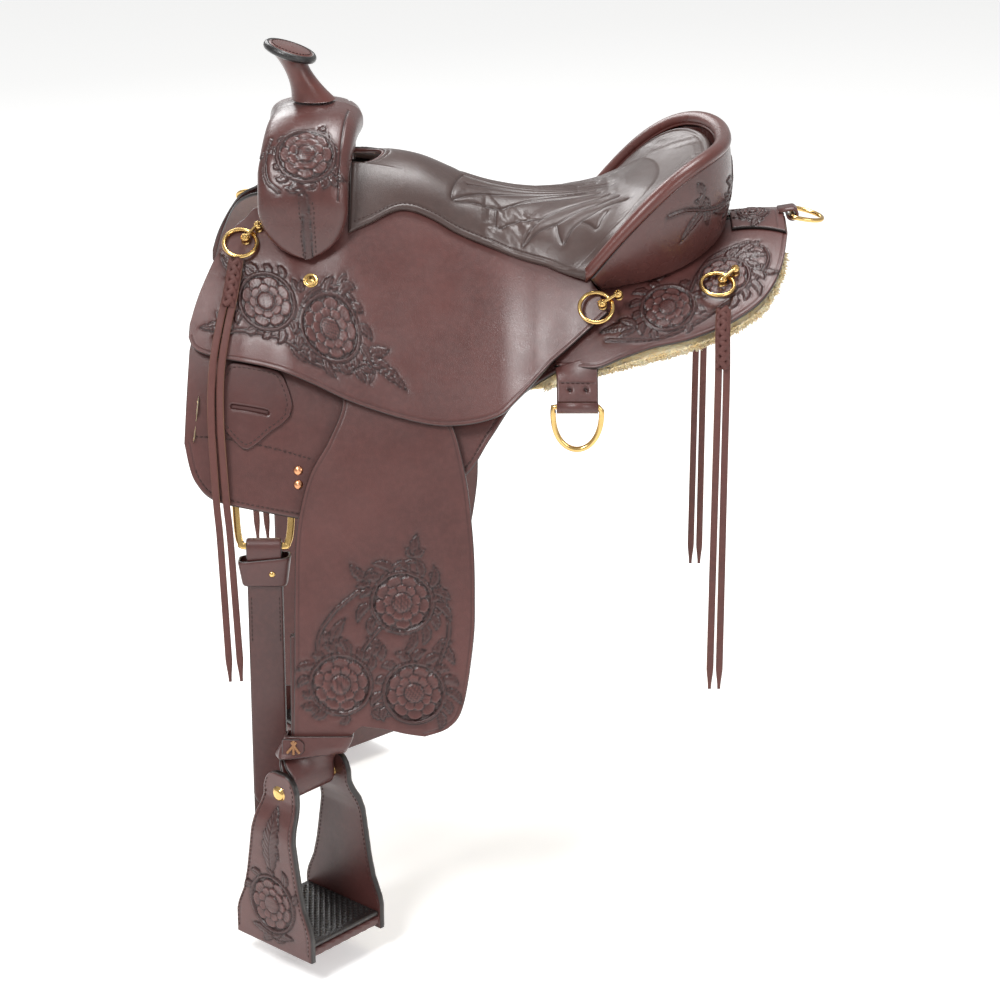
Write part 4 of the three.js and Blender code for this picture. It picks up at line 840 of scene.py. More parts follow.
def make_fleece():
    lower, upper = [], []
    for x, s in SKIRT_LOWER:
        shown = s - 6 + 22 * float(smooth((x - 20) / 60))
        lower.append([min(max(x, FRONT_X + 6), REAR_X + 2), min(shown, SKIRT_DROP - 58)])
    for x, s in SKIRT_UPPER:
        hidden = s + 4 + 60 * float(smooth((-230 - x) / 60))
        upper.append([min(max(x, FRONT_X + 10), REAR_X), hidden])
    x, s = between(upper, lower, 3.4)
    p = on_back(x, s, -1.2)
    d = edge_distance(p)
    bulge = 14 * np.sqrt(np.clip(1 - (1 - np.clip(d / 9, 0, 1)) ** 2, 0, 1))
    waves = ((4.1, 0.4), (2.3, 1.9), (1.3, 3.1))
    curl = sum(np.sin(x / w + q) * np.sin(s / w * 1.1 + 1.7 * q) for w, q in waves)
    depth = bulge + curl * 0.9 + RNG.normal(0, 0.5, x.shape)
    normal = unit(np.cross(np.gradient(p, axis=0), np.gradient(p, axis=1)))
    normal = normal * np.sign((normal * np.array([0, 1.0, -0.6])).sum(-1).mean())
    points, quads = shell(p, p + normal * np.clip(depth, 0.4, None)[..., None])
    for obj in pair("fleece", points, quads, FLEECE, "saddle", nodes=["fleece"]):
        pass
    rim = spline(lower, 900)
    rim = rim[rim[:, 0] > 50]
    locks = []
    for _ in range(LOCK_COUNT):
        x0, s0 = rim[RNG.integers(0, len(rim))]
        lift = -RNG.uniform(1, 13)
        root = on_back(np.array([x0]), np.array([s0 - 2]), lift)[0]
        tip_x = np.array([x0 + RNG.normal(0, 3)])
        tip_s = np.array([s0 + RNG.uniform(0.6, 3.2)])
        tip = on_back(tip_x, tip_s, lift + RNG.normal(0, 2))[0]
        locks.append((root, tip))
    root, tip = (np.array([lock[k] for lock in locks]) for k in (0, 1))
    ahead = unit(tip - root)
    side = unit(np.cross(ahead, RNG.normal(size=root.shape)))
    other = np.cross(ahead, side)
    wide = RNG.uniform(0.8, 1.6, (len(root), 1))
    bend = (root + tip) / 2 + side * RNG.uniform(-1.6, 1.6, (len(root), 1))
    thirds = [math.cos(a) * side + math.sin(a) * other for a in (0, 2.09, 4.19)]
    corners = [root + wide * third for third in thirds]
    corners += [bend + wide * 0.8 * third for third in thirds] + [tip]
    points = np.stack(corners, 1).reshape(-1, 3)
    start = 7 * np.arange(len(root))[:, None, None]
    quads = (np.array([[0, 1, 4, 3], [1, 2, 5, 4], [2, 0, 3, 5]])[None] + start).reshape(-1, 4)
    tris = (np.array([[3, 4, 6], [4, 5, 6], [5, 3, 6], [0, 2, 1]])[None] + start).reshape(-1, 3)
    pair("fleece_locks", points, quads, FLEECE, "saddle", tris=tris)


# ---- Jockeys -----------------------------------------------------------------------------------
JOCKEY_UPPER = [
    [FRONT_X + 1, 200], [FRONT_X + 13, 160], [FRONT_X + 40, 97], [FRONT_X + 60, 71], [FRONT_X + 77, 54],
    [SWELL_X, 56], [SEAT_FRONT_X + 20, 46], [SEAT_FRONT_X + 120, 46], [CANTLE_X - 60, 60], [CANTLE_X - 8, 90],
    [CANTLE_X + 16, 122],
]
JOCKEY_LOWER = [
    [FRONT_X, 214], [FRONT_X + 6, 226], [FRONT_X + 20, 233], [FRONT_X + 43, 237], [FRONT_X + 96, 239],
    [SWELL_X + 12, 244], [SEAT_FRONT_X + 9, JOCKEY_DROP], [SEAT_FRONT_X + 86, JOCKEY_DROP],
    [SEAT_FRONT_X + 128, JOCKEY_DROP - 6], [SEAT_FRONT_X + 168, JOCKEY_DROP - 18], [CANTLE_X - 73, 216],
    [CANTLE_X - 35, 190], [CANTLE_X + 4, 163], [CANTLE_X + 26, 146],
]
TAB_X, TAB_WIDTH, TAB_S = CANTLE_X - 9, 46.0, 244.0
REAR_UPPER = [
    [TAB_X - TAB_WIDTH / 2, 180], [CANTLE_X, 140], [CANTLE_X + 20, 104], [CANTLE_X + 74, 88],
    [CANTLE_X + 119, 64], [CANTLE_X + 150, 24], [CANTLE_X + 170, 6], [REAR_X, 4],
]
REAR_LOWER = [
    [TAB_X - TAB_WIDTH / 2, 192], [TAB_X, 204], [TAB_X + TAB_WIDTH / 2, 212], [CANTLE_X + 40, 206],
    [CANTLE_X + 76, 196], [CANTLE_X + 117, 190],
    [CANTLE_X + 164, 174], [CANTLE_X + 201, 146], [CANTLE_X + 222, 103], [REAR_X, 43],
]


def make_jockeys():
    x, s = between(JOCKEY_UPPER, JOCKEY_LOWER, 1.5)
    p = under_seat(x, s)
    carve = Tooling(x, s)
    carve.sprig((-300, 196), 150, 36, 0.5, 6, 3)
    carve.sprig((-232, 208), 20, 44, -0.35, 6, 3, 0.7)
    carve.sprig((-150, 196), 15, 52, 0.35, 7.5, 3, 0.75)
    carve.sprig((-160, 208), 50, 36, -0.4, 6, 2, 0.6)
    carve.sprig((-180, 146), -35, 30, 0.6, 5.5, 2, 0.6)
    carve.sprig((-292, 140), 205, 30, 0.5, 5.5, 3, 0.9)
    carve.sprig((-226, 150), -80, 26, -0.5, 5, 2, 0.6)
    carve.stem([[-318, 214], [-290, 204], [-246, 205], [-226, 212],
                [-205, 222], [-170, 218], [-150, 205], [-120, 208]], 1.8)
    carve.stem([[-226, 186], [-222, 168], [-214, 152], [-196, 143], [-172, 146], [-158, 158]], 1.8)
    carve.wreath((-261, 167), 30, 150, 300, 7, 17, -0.6)
    carve.wreath((-261, 167), 30, 30, 110, 4, 17, 0.6)
    carve.wreath((-190, 181), 31, -100, 40, 6, 19, 0.6)
    carve.wreath((-190, 181), 31, 70, 150, 4, 18, -0.6)
    carve.flower((-261, 167), 32, 8, 0.2)
    carve.flower((-190, 181), 33, 9, 0.5)
    edge = offset(spline(JOCKEY_LOWER, 260), -4.2)
    carve.groove(edge, 0.7, 0.28, 0.3, 200)
    rise, marks = carve.finish()
    points, quads, marks = sheet(p, LEATHER, rise, marks)
    pair("jockey", points, quads, BROWN, "saddle", marks, nodes=["jockey"])


def on_rear(x, s):
    return on_back(x, s, REAR_JOCKEY_LIFT)


def on_tab(x, s):
    """The rigging tab: it leaves the back's curve and hangs flat across its width."""
    flat = on_back(0 * x + TAB_X, s, REAR_JOCKEY_LIFT)
    flat[..., 0] = x
    share = smooth((s - 190) / 34)[..., None]
    return lerp(on_rear(x, s), flat, share)


def make_rear_jockeys():
    x, s = between(REAR_UPPER, REAR_LOWER, 1.5)
    carve = Tooling(x, s)
    carve.sprig((152, 168), 190, 40, -0.4, 6, 3, 0.7)
    carve.sprig((216, 150), 60, 30, 0.6, 5.5, 2, 0.6)
    carve.sprig((176, 108), -110, 24, 0.6, 5, 3, 0.8)
    carve.sprig((268, 84), -40, 44, 0.5, 6.5, 4, 0.9)
    carve.sprig((284, 104), 30, 34, -0.5, 5.5, 3, 0.7)
    carve.stem([[120, 182], [150, 186], [185, 184], [222, 170], [252, 150],
                [286, 122], [302, 96], [300, 72], [282, 58]], 1.8)
    carve.stem([[214, 128], [222, 106], [236, 84], [256, 70], [282, 58]], 1.8)
    carve.wreath((188, 147), 29, 120, 250, 6, 16, -0.6)
    carve.wreath((188, 147), 29, -60, 50, 4, 15, 0.5)
    carve.wreath((252, 112), 28, -80, 70, 7, 22, 0.6)
    carve.flower((188, 147), 30, 8, 0.1)
    carve.flower((252, 112), 29, 8, 0.7)
    edge = offset(spline(REAR_LOWER, 260), -4.2)
    carve.groove(edge, 0.7, 0.28, 0.3, 200)
    rise, marks = carve.finish()
    points, quads, marks = sheet(on_rear(x, s), LEATHER, rise, marks)
    pair("rear_jockey", points, quads, BROWN, "saddle", marks, nodes=["rear_jockey"])
    half = TAB_WIDTH / 2
    u, v = np.meshgrid(np.linspace(-half, half, 40), np.linspace(196, TAB_S, 44), indexing="ij")
    rows = Tooling(TAB_X + u, v)
    seam = np.array([[TAB_X - half + 4, 222.0], [TAB_X, 222.0], [TAB_X + half - 4, 222.0]])
    rows.groove(seam, 0.8, 0.35, 0.4)
    for hole in (-9, 9):
        # Painted shade: the two holes are painted near black for the shade inside them.
        rows.groove([[TAB_X + hole, 229], [TAB_X + hole + 1, 230]], 2.0, 2.2, 1.0, 4)
    rise, marks = rows.finish()
    points, quads, marks = sheet(on_tab(TAB_X + u, v), LEATHER + 0.3, rise, marks)
    pair("rear_tab", points, quads, BROWN, "saddle", marks)
    at, normal = normals_along(on_tab, spline(seam, 40), LEATHER + 0.3)
    stitch_row("rear_tab_stitches", at, normal)
    bar = dee_bar()
    down, out = tab_frame()
    turns = np.linspace(-0.15 * np.pi, 1.25 * np.pi, 26)
    rings = []
    for angle in turns:
        around = math.cos(angle) * out + math.sin(angle) * down
        near, far = bar + around * 3.7, bar + around * 7.4
        rings.append([near + [-half, 0, 0], far + [-half, 0, 0], far + [half, 0, 0], near + [half, 0, 0]])
    points, quads, tris = loft(rings)
    marks = np.zeros((len(points), 3))
    pair("rear_tab_fold", points, quads, BROWN, "saddle", marks, tris)


def tab_frame():
    top, bottom = (on_back(np.array([TAB_X]), np.array([s]), REAR_JOCKEY_LIFT)[0] for s in (TAB_S - 6, TAB_S))
    down = unit(bottom - top)
    return down, unit(np.array([0, down[2], -down[1]]))


def dee_bar():
    down, out = tab_frame()
    bottom = on_back(np.array([TAB_X]), np.array([TAB_S]), REAR_JOCKEY_LIFT)[0]
    return bottom + down * 4.2 + out * LEATHER / 2


# ---- Swell and horn ----------------------------------------------------------------------------
SWELL_LENGTH = high("swell_cover")[0] - low("swell_cover")[0] - 14
SWELL_HALF_WIDTH = high("swell_cover")[1]
SWELL_TOP_Z = high("swell_cover")[2]
SWELL_END_RADIUS = 66
ARCH_OUTER = spline([
    [0, SWELL_TOP_Z], [48, SWELL_TOP_Z - 6], [92, SWELL_TOP_Z - 30], [SWELL_HALF_WIDTH - 4, SWELL_TOP_Z - 72],
    [SWELL_HALF_WIDTH, SWELL_TOP_Z - 112], [SWELL_HALF_WIDTH - 2, SWELL_TOP_Z - 152],
])
ARCH_INNER = spline([
    [0, SWELL_TOP_Z - 48], [36, SWELL_TOP_Z - 52], [66, SWELL_TOP_Z - 68], [86, SWELL_TOP_Z - 98],
    [96, SWELL_TOP_Z - 128], [108, SWELL_TOP_Z - 150],
])


def make_swell():
    count, steps = 210, 400
    rings, a, b = [], [], []
    _, c, s = section(count, 2 / 2.6)
    run = np.linspace(0, np.linalg.norm(np.diff(ARCH_OUTER, axis=0), axis=1).sum(), len(ARCH_OUTER))
    for t in np.linspace(-1, 1, steps):
        share = math.sin(math.pi / 2 * abs(t)) * 0.35 + abs(t) * 0.65
        k = np.interp(share * run[-1], run, np.arange(len(run)))
        numbers = np.arange(len(ARCH_OUTER))
        at = [np.interp(k, numbers, arch[:, i]) for arch in (ARCH_OUTER, ARCH_INNER) for i in (0, 1)]
        side = 1 if t > 0 else -1
        outer, inner = np.array([0, side * at[0], at[1]]), np.array([0, side * at[2], at[3]])
        half = np.linalg.norm(outer - inner) / 2
        up = unit(outer - inner)
        end = smooth((share - 0.72) / 0.28) ** 1.4
        left = min(1.0, (1 - share) * run[-1] / SWELL_END_RADIUS)
        taper = max(1 - 0.8 * end if share < 0.9 else 0, math.sqrt(max(1e-4, 1 - (1 - left) ** 2)))
        long = (SWELL_LENGTH / 2 + 3 * (1 - abs(t))) * taper
        centre = (outer + inner) / 2
        centre[0] = SWELL_X + 12 * (1 - min(1, 2.2 * abs(t))) + 4 * (1 - taper)
        rings.append(centre + long * c[:, None] * np.array([1, 0, 0]) + half * s[:, None] * up)
        a.append(centre[0] + long * c)
        b.append(np.full(count, side * np.interp(k, np.arange(len(run)), run)))
    rings, a, b = np.array(rings), np.array(a), np.array(b)
    marks, rise = np.zeros((*a.shape, 3)), np.zeros_like(a)
    for side in (-1, 1):
        carve = Tooling(a, b * side)
        carve.sprig((SWELL_X - 4, 148), 100, 26, 0.6, 5, 2, 0.8)
        carve.sprig((SWELL_X + 34, 132), 60, 26, -0.7, 5, 2, 0.8)
        carve.sprig((SWELL_X - 38, 104), 230, 20, 0.7, 5, 2, 0.8)
        carve.sprig((SWELL_X + 20, 78), -30, 22, 0.7, 5, 2, 0.8)
        carve.wreath((SWELL_X + 4, 112), 27, 20, 160, 6, 15, 0.5)
        carve.wreath((SWELL_X + 4, 112), 27, 200, 340, 6, 14, -0.5)
        carve.flower((SWELL_X + 4, 108), 33, 8, 0.4)
        carve.stem([[SWELL_X - 36, 84], [SWELL_X - 42, 108], [SWELL_X - 40, 136], [SWELL_X - 26, 152]], 1.8)
        carve.stem([[SWELL_X + 2, 158], [SWELL_X + 5, 190], [SWELL_X + 6, 220], [SWELL_X + 7, 250]], 4.4)
        seam = [[SWELL_X + 49, 20], [SWELL_X + 45, 60], [SWELL_X + 42, 110], [SWELL_X + 40, 160]]
        carve.groove(seam, 1.0, 0.8, 0.8, 40)
        new_rise, new_marks = carve.finish()
        outer = (s > 0)[None]
        rise += np.where((b * side > 0) & outer, new_rise, 0)
        marks += np.where(((b * side > 0) & outer)[..., None], new_marks, 0)
    normal = unit(np.cross(np.roll(rings, -1, 1) - np.roll(rings, 1, 1), np.gradient(rings, axis=0)))
    middle = rings.mean(1, keepdims=True)
    normal = normal * np.sign(((rings - middle) * normal).sum(-1, keepdims=True))
    rings = rings + normal * rise[..., None]
    points, quads, tris = loft(rings)
    flat = np.concatenate([marks.reshape(-1, 3), np.zeros((2, 3))])
    single("swell_cover", points, quads, SWELL, "saddle", flat, tris, ["swell_cover"])
    for side, name in ((-1, "near"), (1, "off")):
        rows = []
        for shift in (-7.2, 7.2):
            want = np.stack([SWELL_X + 5 + shift + np.linspace(0, 3, 60), np.linspace(162, 244, 60)], 1)
            at, out = [], []
            for x0, b0 in want:
                i = int(np.abs(b[:, 0] - side * b0).argmin())
                j = int(np.where(s > 0, np.abs(a[i] - x0), 1e9).argmin())
                at.append(rings[i, j])
                out.append(normal[i, j])
            rows.append(stitches(smoothed(np.array(at)), unit(smoothed(np.array(out)))))
        points, quads, tris = merge(*rows)
        single(f"swell_stitches_{name}", points, quads, THREAD, "saddle", tris=tris)
    at, out = normals_along(under_seat, np.array([[-212.0, 137.0]]), LEATHER)
    screw = [(0, 3.2), (3.2, 2.9), (4.6, 1.6), (4.9, 0.4)]
    ferrule = [(6.6, 0.3), (7.6, 1.1), (8.4, 0.6), (8.6, -0.6), (0, -0.6)]
    shape = merge(lathe(screw + ferrule, at[0], out[0], 28))
    pair("swell_screw", shape[0], shape[1], BRASS, "saddle", tris=shape[2])


def smoothed(values, rounds=3):
    for _ in range(rounds):
        values = np.concatenate([values[:1], (values[:-2] + 2 * values[1:-1] + values[2:]) / 4, values[-1:]])
    return values


HORN_TILT = 0.32
HORN_BASE = np.array([SWELL_X + 8, 0, SWELL_TOP_Z + 2])
HORN_TOP = np.array([SWELL_X - 19, 0, SWELL_TOP_Z + 52])


def make_horn():
    middle = np.array([SWELL_X - 4, 0, SWELL_TOP_Z + 28])
    rings = []
    for t in np.linspace(0, 1, 60):
        centre = (1 - t) ** 2 * HORN_BASE + 2 * t * (1 - t) * middle + t ** 2 * HORN_TOP
        tilt = HORN_TILT * t
        flare = 9 * (1 - t) ** 3 + 7 * t ** 6
        side = np.array([math.cos(tilt), 0, -math.sin(tilt)])
        angle = 2 * np.pi * np.arange(56) / 56
        fold = 0.35 * np.sin(5 * angle) * (1 - t) ** 2
        long, wide = 16 + flare + fold, 16 + flare * 0.7 + fold
        across = (wide * np.sin(angle))[:, None] * np.array([0, 1, 0])
        rings.append(centre + (long * np.cos(angle))[:, None] * side + across)
    points, quads, tris = loft(rings)
    single("horn_neck", points, quads, GLOSS, "saddle", tris=tris, nodes=["horn_neck"])
    axis = np.array([math.sin(HORN_TILT), 0, math.cos(HORN_TILT)])
    cap = [(0, 11.2), (6, 11.1), (14, 10.8), (20, 10.3), (24, 9.6)]
    cap += [(26.2, 8.9), (27.2, 8.0), (27.2, 7.2), (0, 7.2)]
    centre = HORN_TOP
    points, quads, tris = lathe(cap, centre, axis, 72)
    radius = np.linalg.norm(np.cross(points - centre, axis), axis=1)
    marks = np.zeros((len(points), 3))
    marks[:, 0] = 0.5 * np.exp(-((radius - 22) / 1.2) ** 2)
    single("horn_cap", points, quads, GLOSS, "saddle", marks, tris, ["horn_cap"])
    band = [(24, 7.4), (28.6, 8.3), (30.4, 6.6), (31.2, 4.4), (31.0, 2.0)]
    band += [(29.8, 0.2), (27.5, -0.8), (24, -1), (16, 0.5)]
    band = [(r, h + 1.2) for r, h in band]
    points, quads, tris = lathe(band, centre, axis, 72)
    single("horn_band", points, quads, BLACK, "saddle", tris=tris, nodes=["horn_band"])
    around = np.linspace(0, 2 * np.pi, 160)
    side = unit(np.cross(axis, (0, 1, 0)))
    outward = np.cos(around)[:, None] * side + np.sin(around)[:, None] * np.cross(axis, side)
    circle = centre + axis * 10.2 + 23 * outward
    stitch_row("horn_cap_stitches", circle, np.broadcast_to(axis, circle.shape), both=False,
               pitch=4.2, length=3.2, radius=0.5)


# ---- Seat --------------------------------------------------------------------------------------
CANTLE_DEPTH, CANTLE_HALF_WIDTH, CANTLE_RISE = 159.0, 147.0, 124.0
ROLL_WIDTH, ROLL_HEIGHT = 9.5, 8.0
ROLL_POWER = 2 / 2.4  # the roll's plan is a slightly squared ellipse
SEAT_EDGE = spline([
    [SEAT_FRONT_X, 100], [SEAT_FRONT_X + 24, 88], [SEAT_FRONT_X + 58, 70], [SEAT_FRONT_X + 91, 69],
    [SEAT_FRONT_X + 120, 74], [CANTLE_X - 86, 83], [CANTLE_X - 44, 90], [CANTLE_X - 6, 101],
])
SEAT_ARCH_END = 0.62  # share of the seat's run that lies over the horse, before it climbs the cantle
HOLE_DEPTH, HOLE_HALF_WIDTH = 34, 32


def roll_point(angle):
    back = np.abs(np.cos(angle)) ** ROLL_POWER
    out = np.sign(angle) * np.abs(np.sin(angle)) ** ROLL_POWER
    height = 14 + CANTLE_RISE * np.sin(np.pi / 2 * back)
    return np.stack([CANTLE_X + CANTLE_DEPTH * back, CANTLE_HALF_WIDTH * out, height], -1)


def roll_frame(angle):
    angle = np.asarray(angle, float)
    along = unit(roll_point(angle + 0.01) - roll_point(angle - 0.01))
    up = np.stack([-0.25 * np.cos(angle), 0 * angle, 1 + 0 * angle], -1)
    up = unit(up - along * (up * along).sum(-1, keepdims=True))
    return roll_point(angle), up, unit(np.cross(along, up))


def seat_under(u, v):
    across = 2 * v - 1
    share = np.abs(across)
    ahead = np.clip(u / SEAT_ARCH_END, 0, 1) * 0.86 * (len(SEAT_EDGE) - 1)
    ex, ey = (np.interp(ahead, np.arange(len(SEAT_EDGE)), SEAT_EDGE[:, k]) for k in (0, 1))
    rest = under_seat(ex, share * ey)
    lift = LEATHER + 1.8
    side = np.sign(across)
    start_y = side * (-rest[..., 1] + lift * 0.6 * share)
    start = np.stack([ex, start_y, rest[..., 2] + lift * lerp(1, 0.8, share)], -1)
    t = np.clip((u - SEAT_ARCH_END) / (1 - SEAT_ARCH_END), 0, 1)[..., None]
    centre, up, out = roll_frame(across * np.pi / 2)
    rim = centre - out * (ROLL_WIDTH + 6.5 * (1 - 0.3 * share))[..., None] - up * 9
    rim[..., 0] = np.maximum(rim[..., 0], ex + 20)
    reach = lerp(115, 18, across ** 2)
    knee = np.stack([start[..., 0] + reach, lerp(start[..., 1], rim[..., 1], 0.6),
                     start[..., 2] + lerp(0, -4, across ** 2)], -1)
    return (1 - t) ** 2 * start + 2 * t * (1 - t) * knee + t ** 2 * rim


def seat_thickness(u, v):
    across = np.abs(2 * v - 1)
    return 5 + 7 * np.sin(np.pi * np.minimum(1, 1.15 * u)) ** 0.5 * (1 - across ** 3)


def puff(top, cap):
    """How far a cloth simulation under pressure moves the seat's top face, at most the cap."""
    nu, nv = top.shape[:2]
    rows, columns = np.arange(0, nu, 4), np.arange(0, nv, 4)
    coarse = top[np.ix_(rows, columns)]
    mesh = bpy.data.meshes.new("pad_cloth")
    mesh.from_pydata((coarse.reshape(-1, 3) * MM).tolist(), [], grid_quads(len(rows), len(columns)).tolist())
    pad = bpy.data.objects.new("pad_cloth", mesh)
    bpy.context.scene.collection.objects.link(pad)
    index = np.arange(coarse.shape[0] * coarse.shape[1]).reshape(coarse.shape[:2])
    held = np.concatenate([index[0], index[-1], index[:, 0], index[:, -1]])
    pins = pad.vertex_groups.new(name="edge")
    pins.add(np.unique(held).tolist(), 1.0, "REPLACE")
    cloth = pad.modifiers.new("cloth", "CLOTH")
    settings = cloth.settings
    settings.quality = 6
    settings.vertex_group_mass = "edge"
    settings.use_pressure = True
    settings.uniform_pressure_force = PAD_PRESSURE
    settings.tension_stiffness = 30
    settings.effector_weights.gravity = 0
    for number in range(1, PAD_FRAMES + 1):
        bpy.context.scene.frame_set(number)
    done = pad.evaluated_get(bpy.context.evaluated_depsgraph_get()).to_mesh()
    moved = np.zeros(len(done.vertices) * 3, np.float32)
    done.vertices.foreach_get("co", moved)
    shift = moved.reshape(coarse.shape) / MM - coarse
    bpy.context.scene.frame_set(1)
    bpy.data.objects.remove(pad)
    bpy.data.meshes.remove(mesh)
    size = np.linalg.norm(shift, axis=-1, keepdims=True)
    shift = shift * np.minimum(1, cap / np.maximum(size, 1e-6))
    across = np.stack([[np.interp(np.arange(nv), columns, row[:, k]) for k in range(3)] for row in shift])
    return np.stack([[np.interp(np.arange(nu), rows, across[:, k, j]) for k in range(3)]
                     for j in range(nv)]).transpose(2, 0, 1)


QUILT = [
    [[-46, 4], [-54, 24], [-57, 48], [-30, 44], [-5, 46]], [[-5, 46], [-6, 58], [-2, 66], [22, 60], [47, 62]],
    [[47, 62], [34, 74], [27, 86], [46, 76], [66, 72]], [[66, 72], [68, 84], [74, 97], [84, 84], [95, 77]],
    [[95, 77], [104, 86], [112, 97], [118, 86], [124, 78]],
    [[-46, 4], [0, 5], [60, 3], [132, 5]], [[-57, 48], [-24, 30], [24, 20], [112, 14]],
    [[-5, 46], [40, 32], [116, 25]],
    [[47, 62], [84, 46], [128, 38]], [[66, 72], [98, 58], [138, 52]], [[95, 77], [122, 66], [148, 66]],
    [[-40, 20], [-10, 14], [40, 11], [90, 9]], [[10, 40], [50, 24], [100, 18]],
]


def quilting(carve, shape):
    """The sewn lines of the quilting, and how deep they pull the seat's face in."""
    quilt, lines = np.zeros(shape), []
    for side in (-1, 1):
        for points in QUILT:
            line = spline(np.array(points, float) * [1, side], 40)
            lines.append(line)
            index = carve.near(line, 12)
            d = carve.distance(index, line)[0]
            valley = -1.2 * np.exp(-(d / 1.2) ** 2) - 0.7 * np.exp(-(d / 4.5) ** 2)
            quilt[index] = np.minimum(quilt[index], valley)
    return lines, quilt


def make_seat():
    nu, nv = 300, 230
    u, v = np.meshgrid(np.linspace(0, 1, nu), np.linspace(0, 1, nv), indexing="ij")
    p = seat_under(u, v)
    y = p[..., 1]
    hole = SEAT_FRONT_X + 2 + HOLE_DEPTH * np.sqrt(np.clip(1 - (y / HOLE_HALF_WIDTH) ** 2, 0, 1))
    start, end = SEAT_FRONT_X, SEAT_FRONT_X + 75
    x = p[..., 0]
    moved = hole + (x - start) * (end - hole) / (end - start)
    x_new = np.where((x < end) & (np.abs(y) < HOLE_HALF_WIDTH), np.maximum(x, moved), x)
    p[..., 2] = p[..., 2] + np.where(x_new != x, seat_height(x_new) - seat_height(x), 0)
    p[..., 0] = x_new
    du, dv = np.gradient(p, axis=0), np.gradient(p, axis=1)
    normal = unit(np.cross(du, dv))
    normal = normal * np.sign(normal[..., 2].mean())
    thick = seat_thickness(u, v)
    across = 2 * v - 1
    lines, quilt = quilting(Tooling(p[..., 0], p[..., 1]), u.shape)
    front = smooth((p[..., 0] - SEAT_FRONT_X) / 30)
    dish = smooth((u - SEAT_ARCH_END) / 0.2) * (1 - smooth((u - 0.93) / 0.06))
    wave = 0.5 * np.sin(p[..., 0] * 0.16 + 1.4 * np.sin(p[..., 1] * 0.05))
    wrinkle = wave * dish * smooth(np.abs(across) / 0.4)
    edge = edge_distance(p)
    hem = -1.0 * np.exp(-((edge - 6.5) / 1.6) ** 2)
    rise = quilt + wrinkle + hem * front
    plain = p + normal * thick[..., None]
    swelled = puff(plain, PAD_CAP)
    rise = rise + np.clip((swelled * normal).sum(-1), -1, PAD_CAP)
    marks = np.zeros((nu, nv, 3))
    # Painted shade: the quilting's valleys are darkened in the red mark.
    marks[..., 0] = np.clip(-0.5 * quilt - 0.35, 0, 0.8)
    rounded = np.clip(edge / 3.0, 0, 1)
    top = p + normal * ((thick + rise) * (0.35 + 0.65 * np.sqrt(1 - (1 - rounded) ** 2)))[..., None]
    points, quads = shell(p, top)
    flags = np.concatenate([np.zeros((nu * nv, 3)), marks.reshape(-1, 3)])
    seat = single("seat", points, quads, SEAT, "saddle", flags, nodes=["seat_cover"])
    rows = []
    for line in lines:
        at, out = sample_top(line, p, top, normal)
        rows.append(stitches(at, out, 4.6, 3.4, 0.5))
    hems = []
    upto = int(nu * SEAT_ARCH_END)
    for column in (8, nv - 9):
        hems.append(stitches(top[4:upto, column], normal[4:upto, column], 5.2, 4.0, 0.6))
    points, quads, tris = merge(*rows, *hems)
    single("seat_stitches", points, quads, THREAD, "saddle", tris=tris)
    rim = top[0, (np.abs(p[0, :, 1]) < HOLE_HALF_WIDTH + 1)]
    points, quads, tris = tube(smoothed(rim, 6), 2.6, 12)
    single("hand_hole_binding", points, quads, GLOSS, "saddle", tris=tris)


def sample_top(line, grid, top, normal):
    """The nearest points of the grid's top to a path in plan."""
    at, out = [], []
    flat = grid[..., :2].reshape(-1, 2)
    tops, normals = top.reshape(-1, 3), normal.reshape(-1, 3)
    for q in line:
        k = int(((flat - q) ** 2).sum(1).argmin())
        at.append([q[0], q[1], tops[k][2]])
        out.append(normals[k])
    return smoothed(np.array(at), 4), unit(smoothed(np.array(out), 4))


def cantle_base(angle):
    back = np.abs(np.cos(angle)) ** ROLL_POWER
    out = np.abs(np.sin(angle)) ** ROLL_POWER
    x = CANTLE_X + 16 + (CANTLE_DEPTH - 14) * back
    y = (CANTLE_HALF_WIDTH - 33) * out
    table = np.arange(0, 300, 0.5)
    at = []
    for x0, y0, side in zip(np.ravel(x), np.ravel(y), np.ravel(np.sign(angle))):
        outs, zs, slopes = profile(np.full(len(table), x0), table)
        k = min(int(np.searchsorted(outs, y0)), len(table) - 1)
        at.append([x0, side * y0, zs[k] + (REAR_JOCKEY_LIFT + LEATHER + 3.5) / math.cos(slopes[k])])
    return np.array(at)


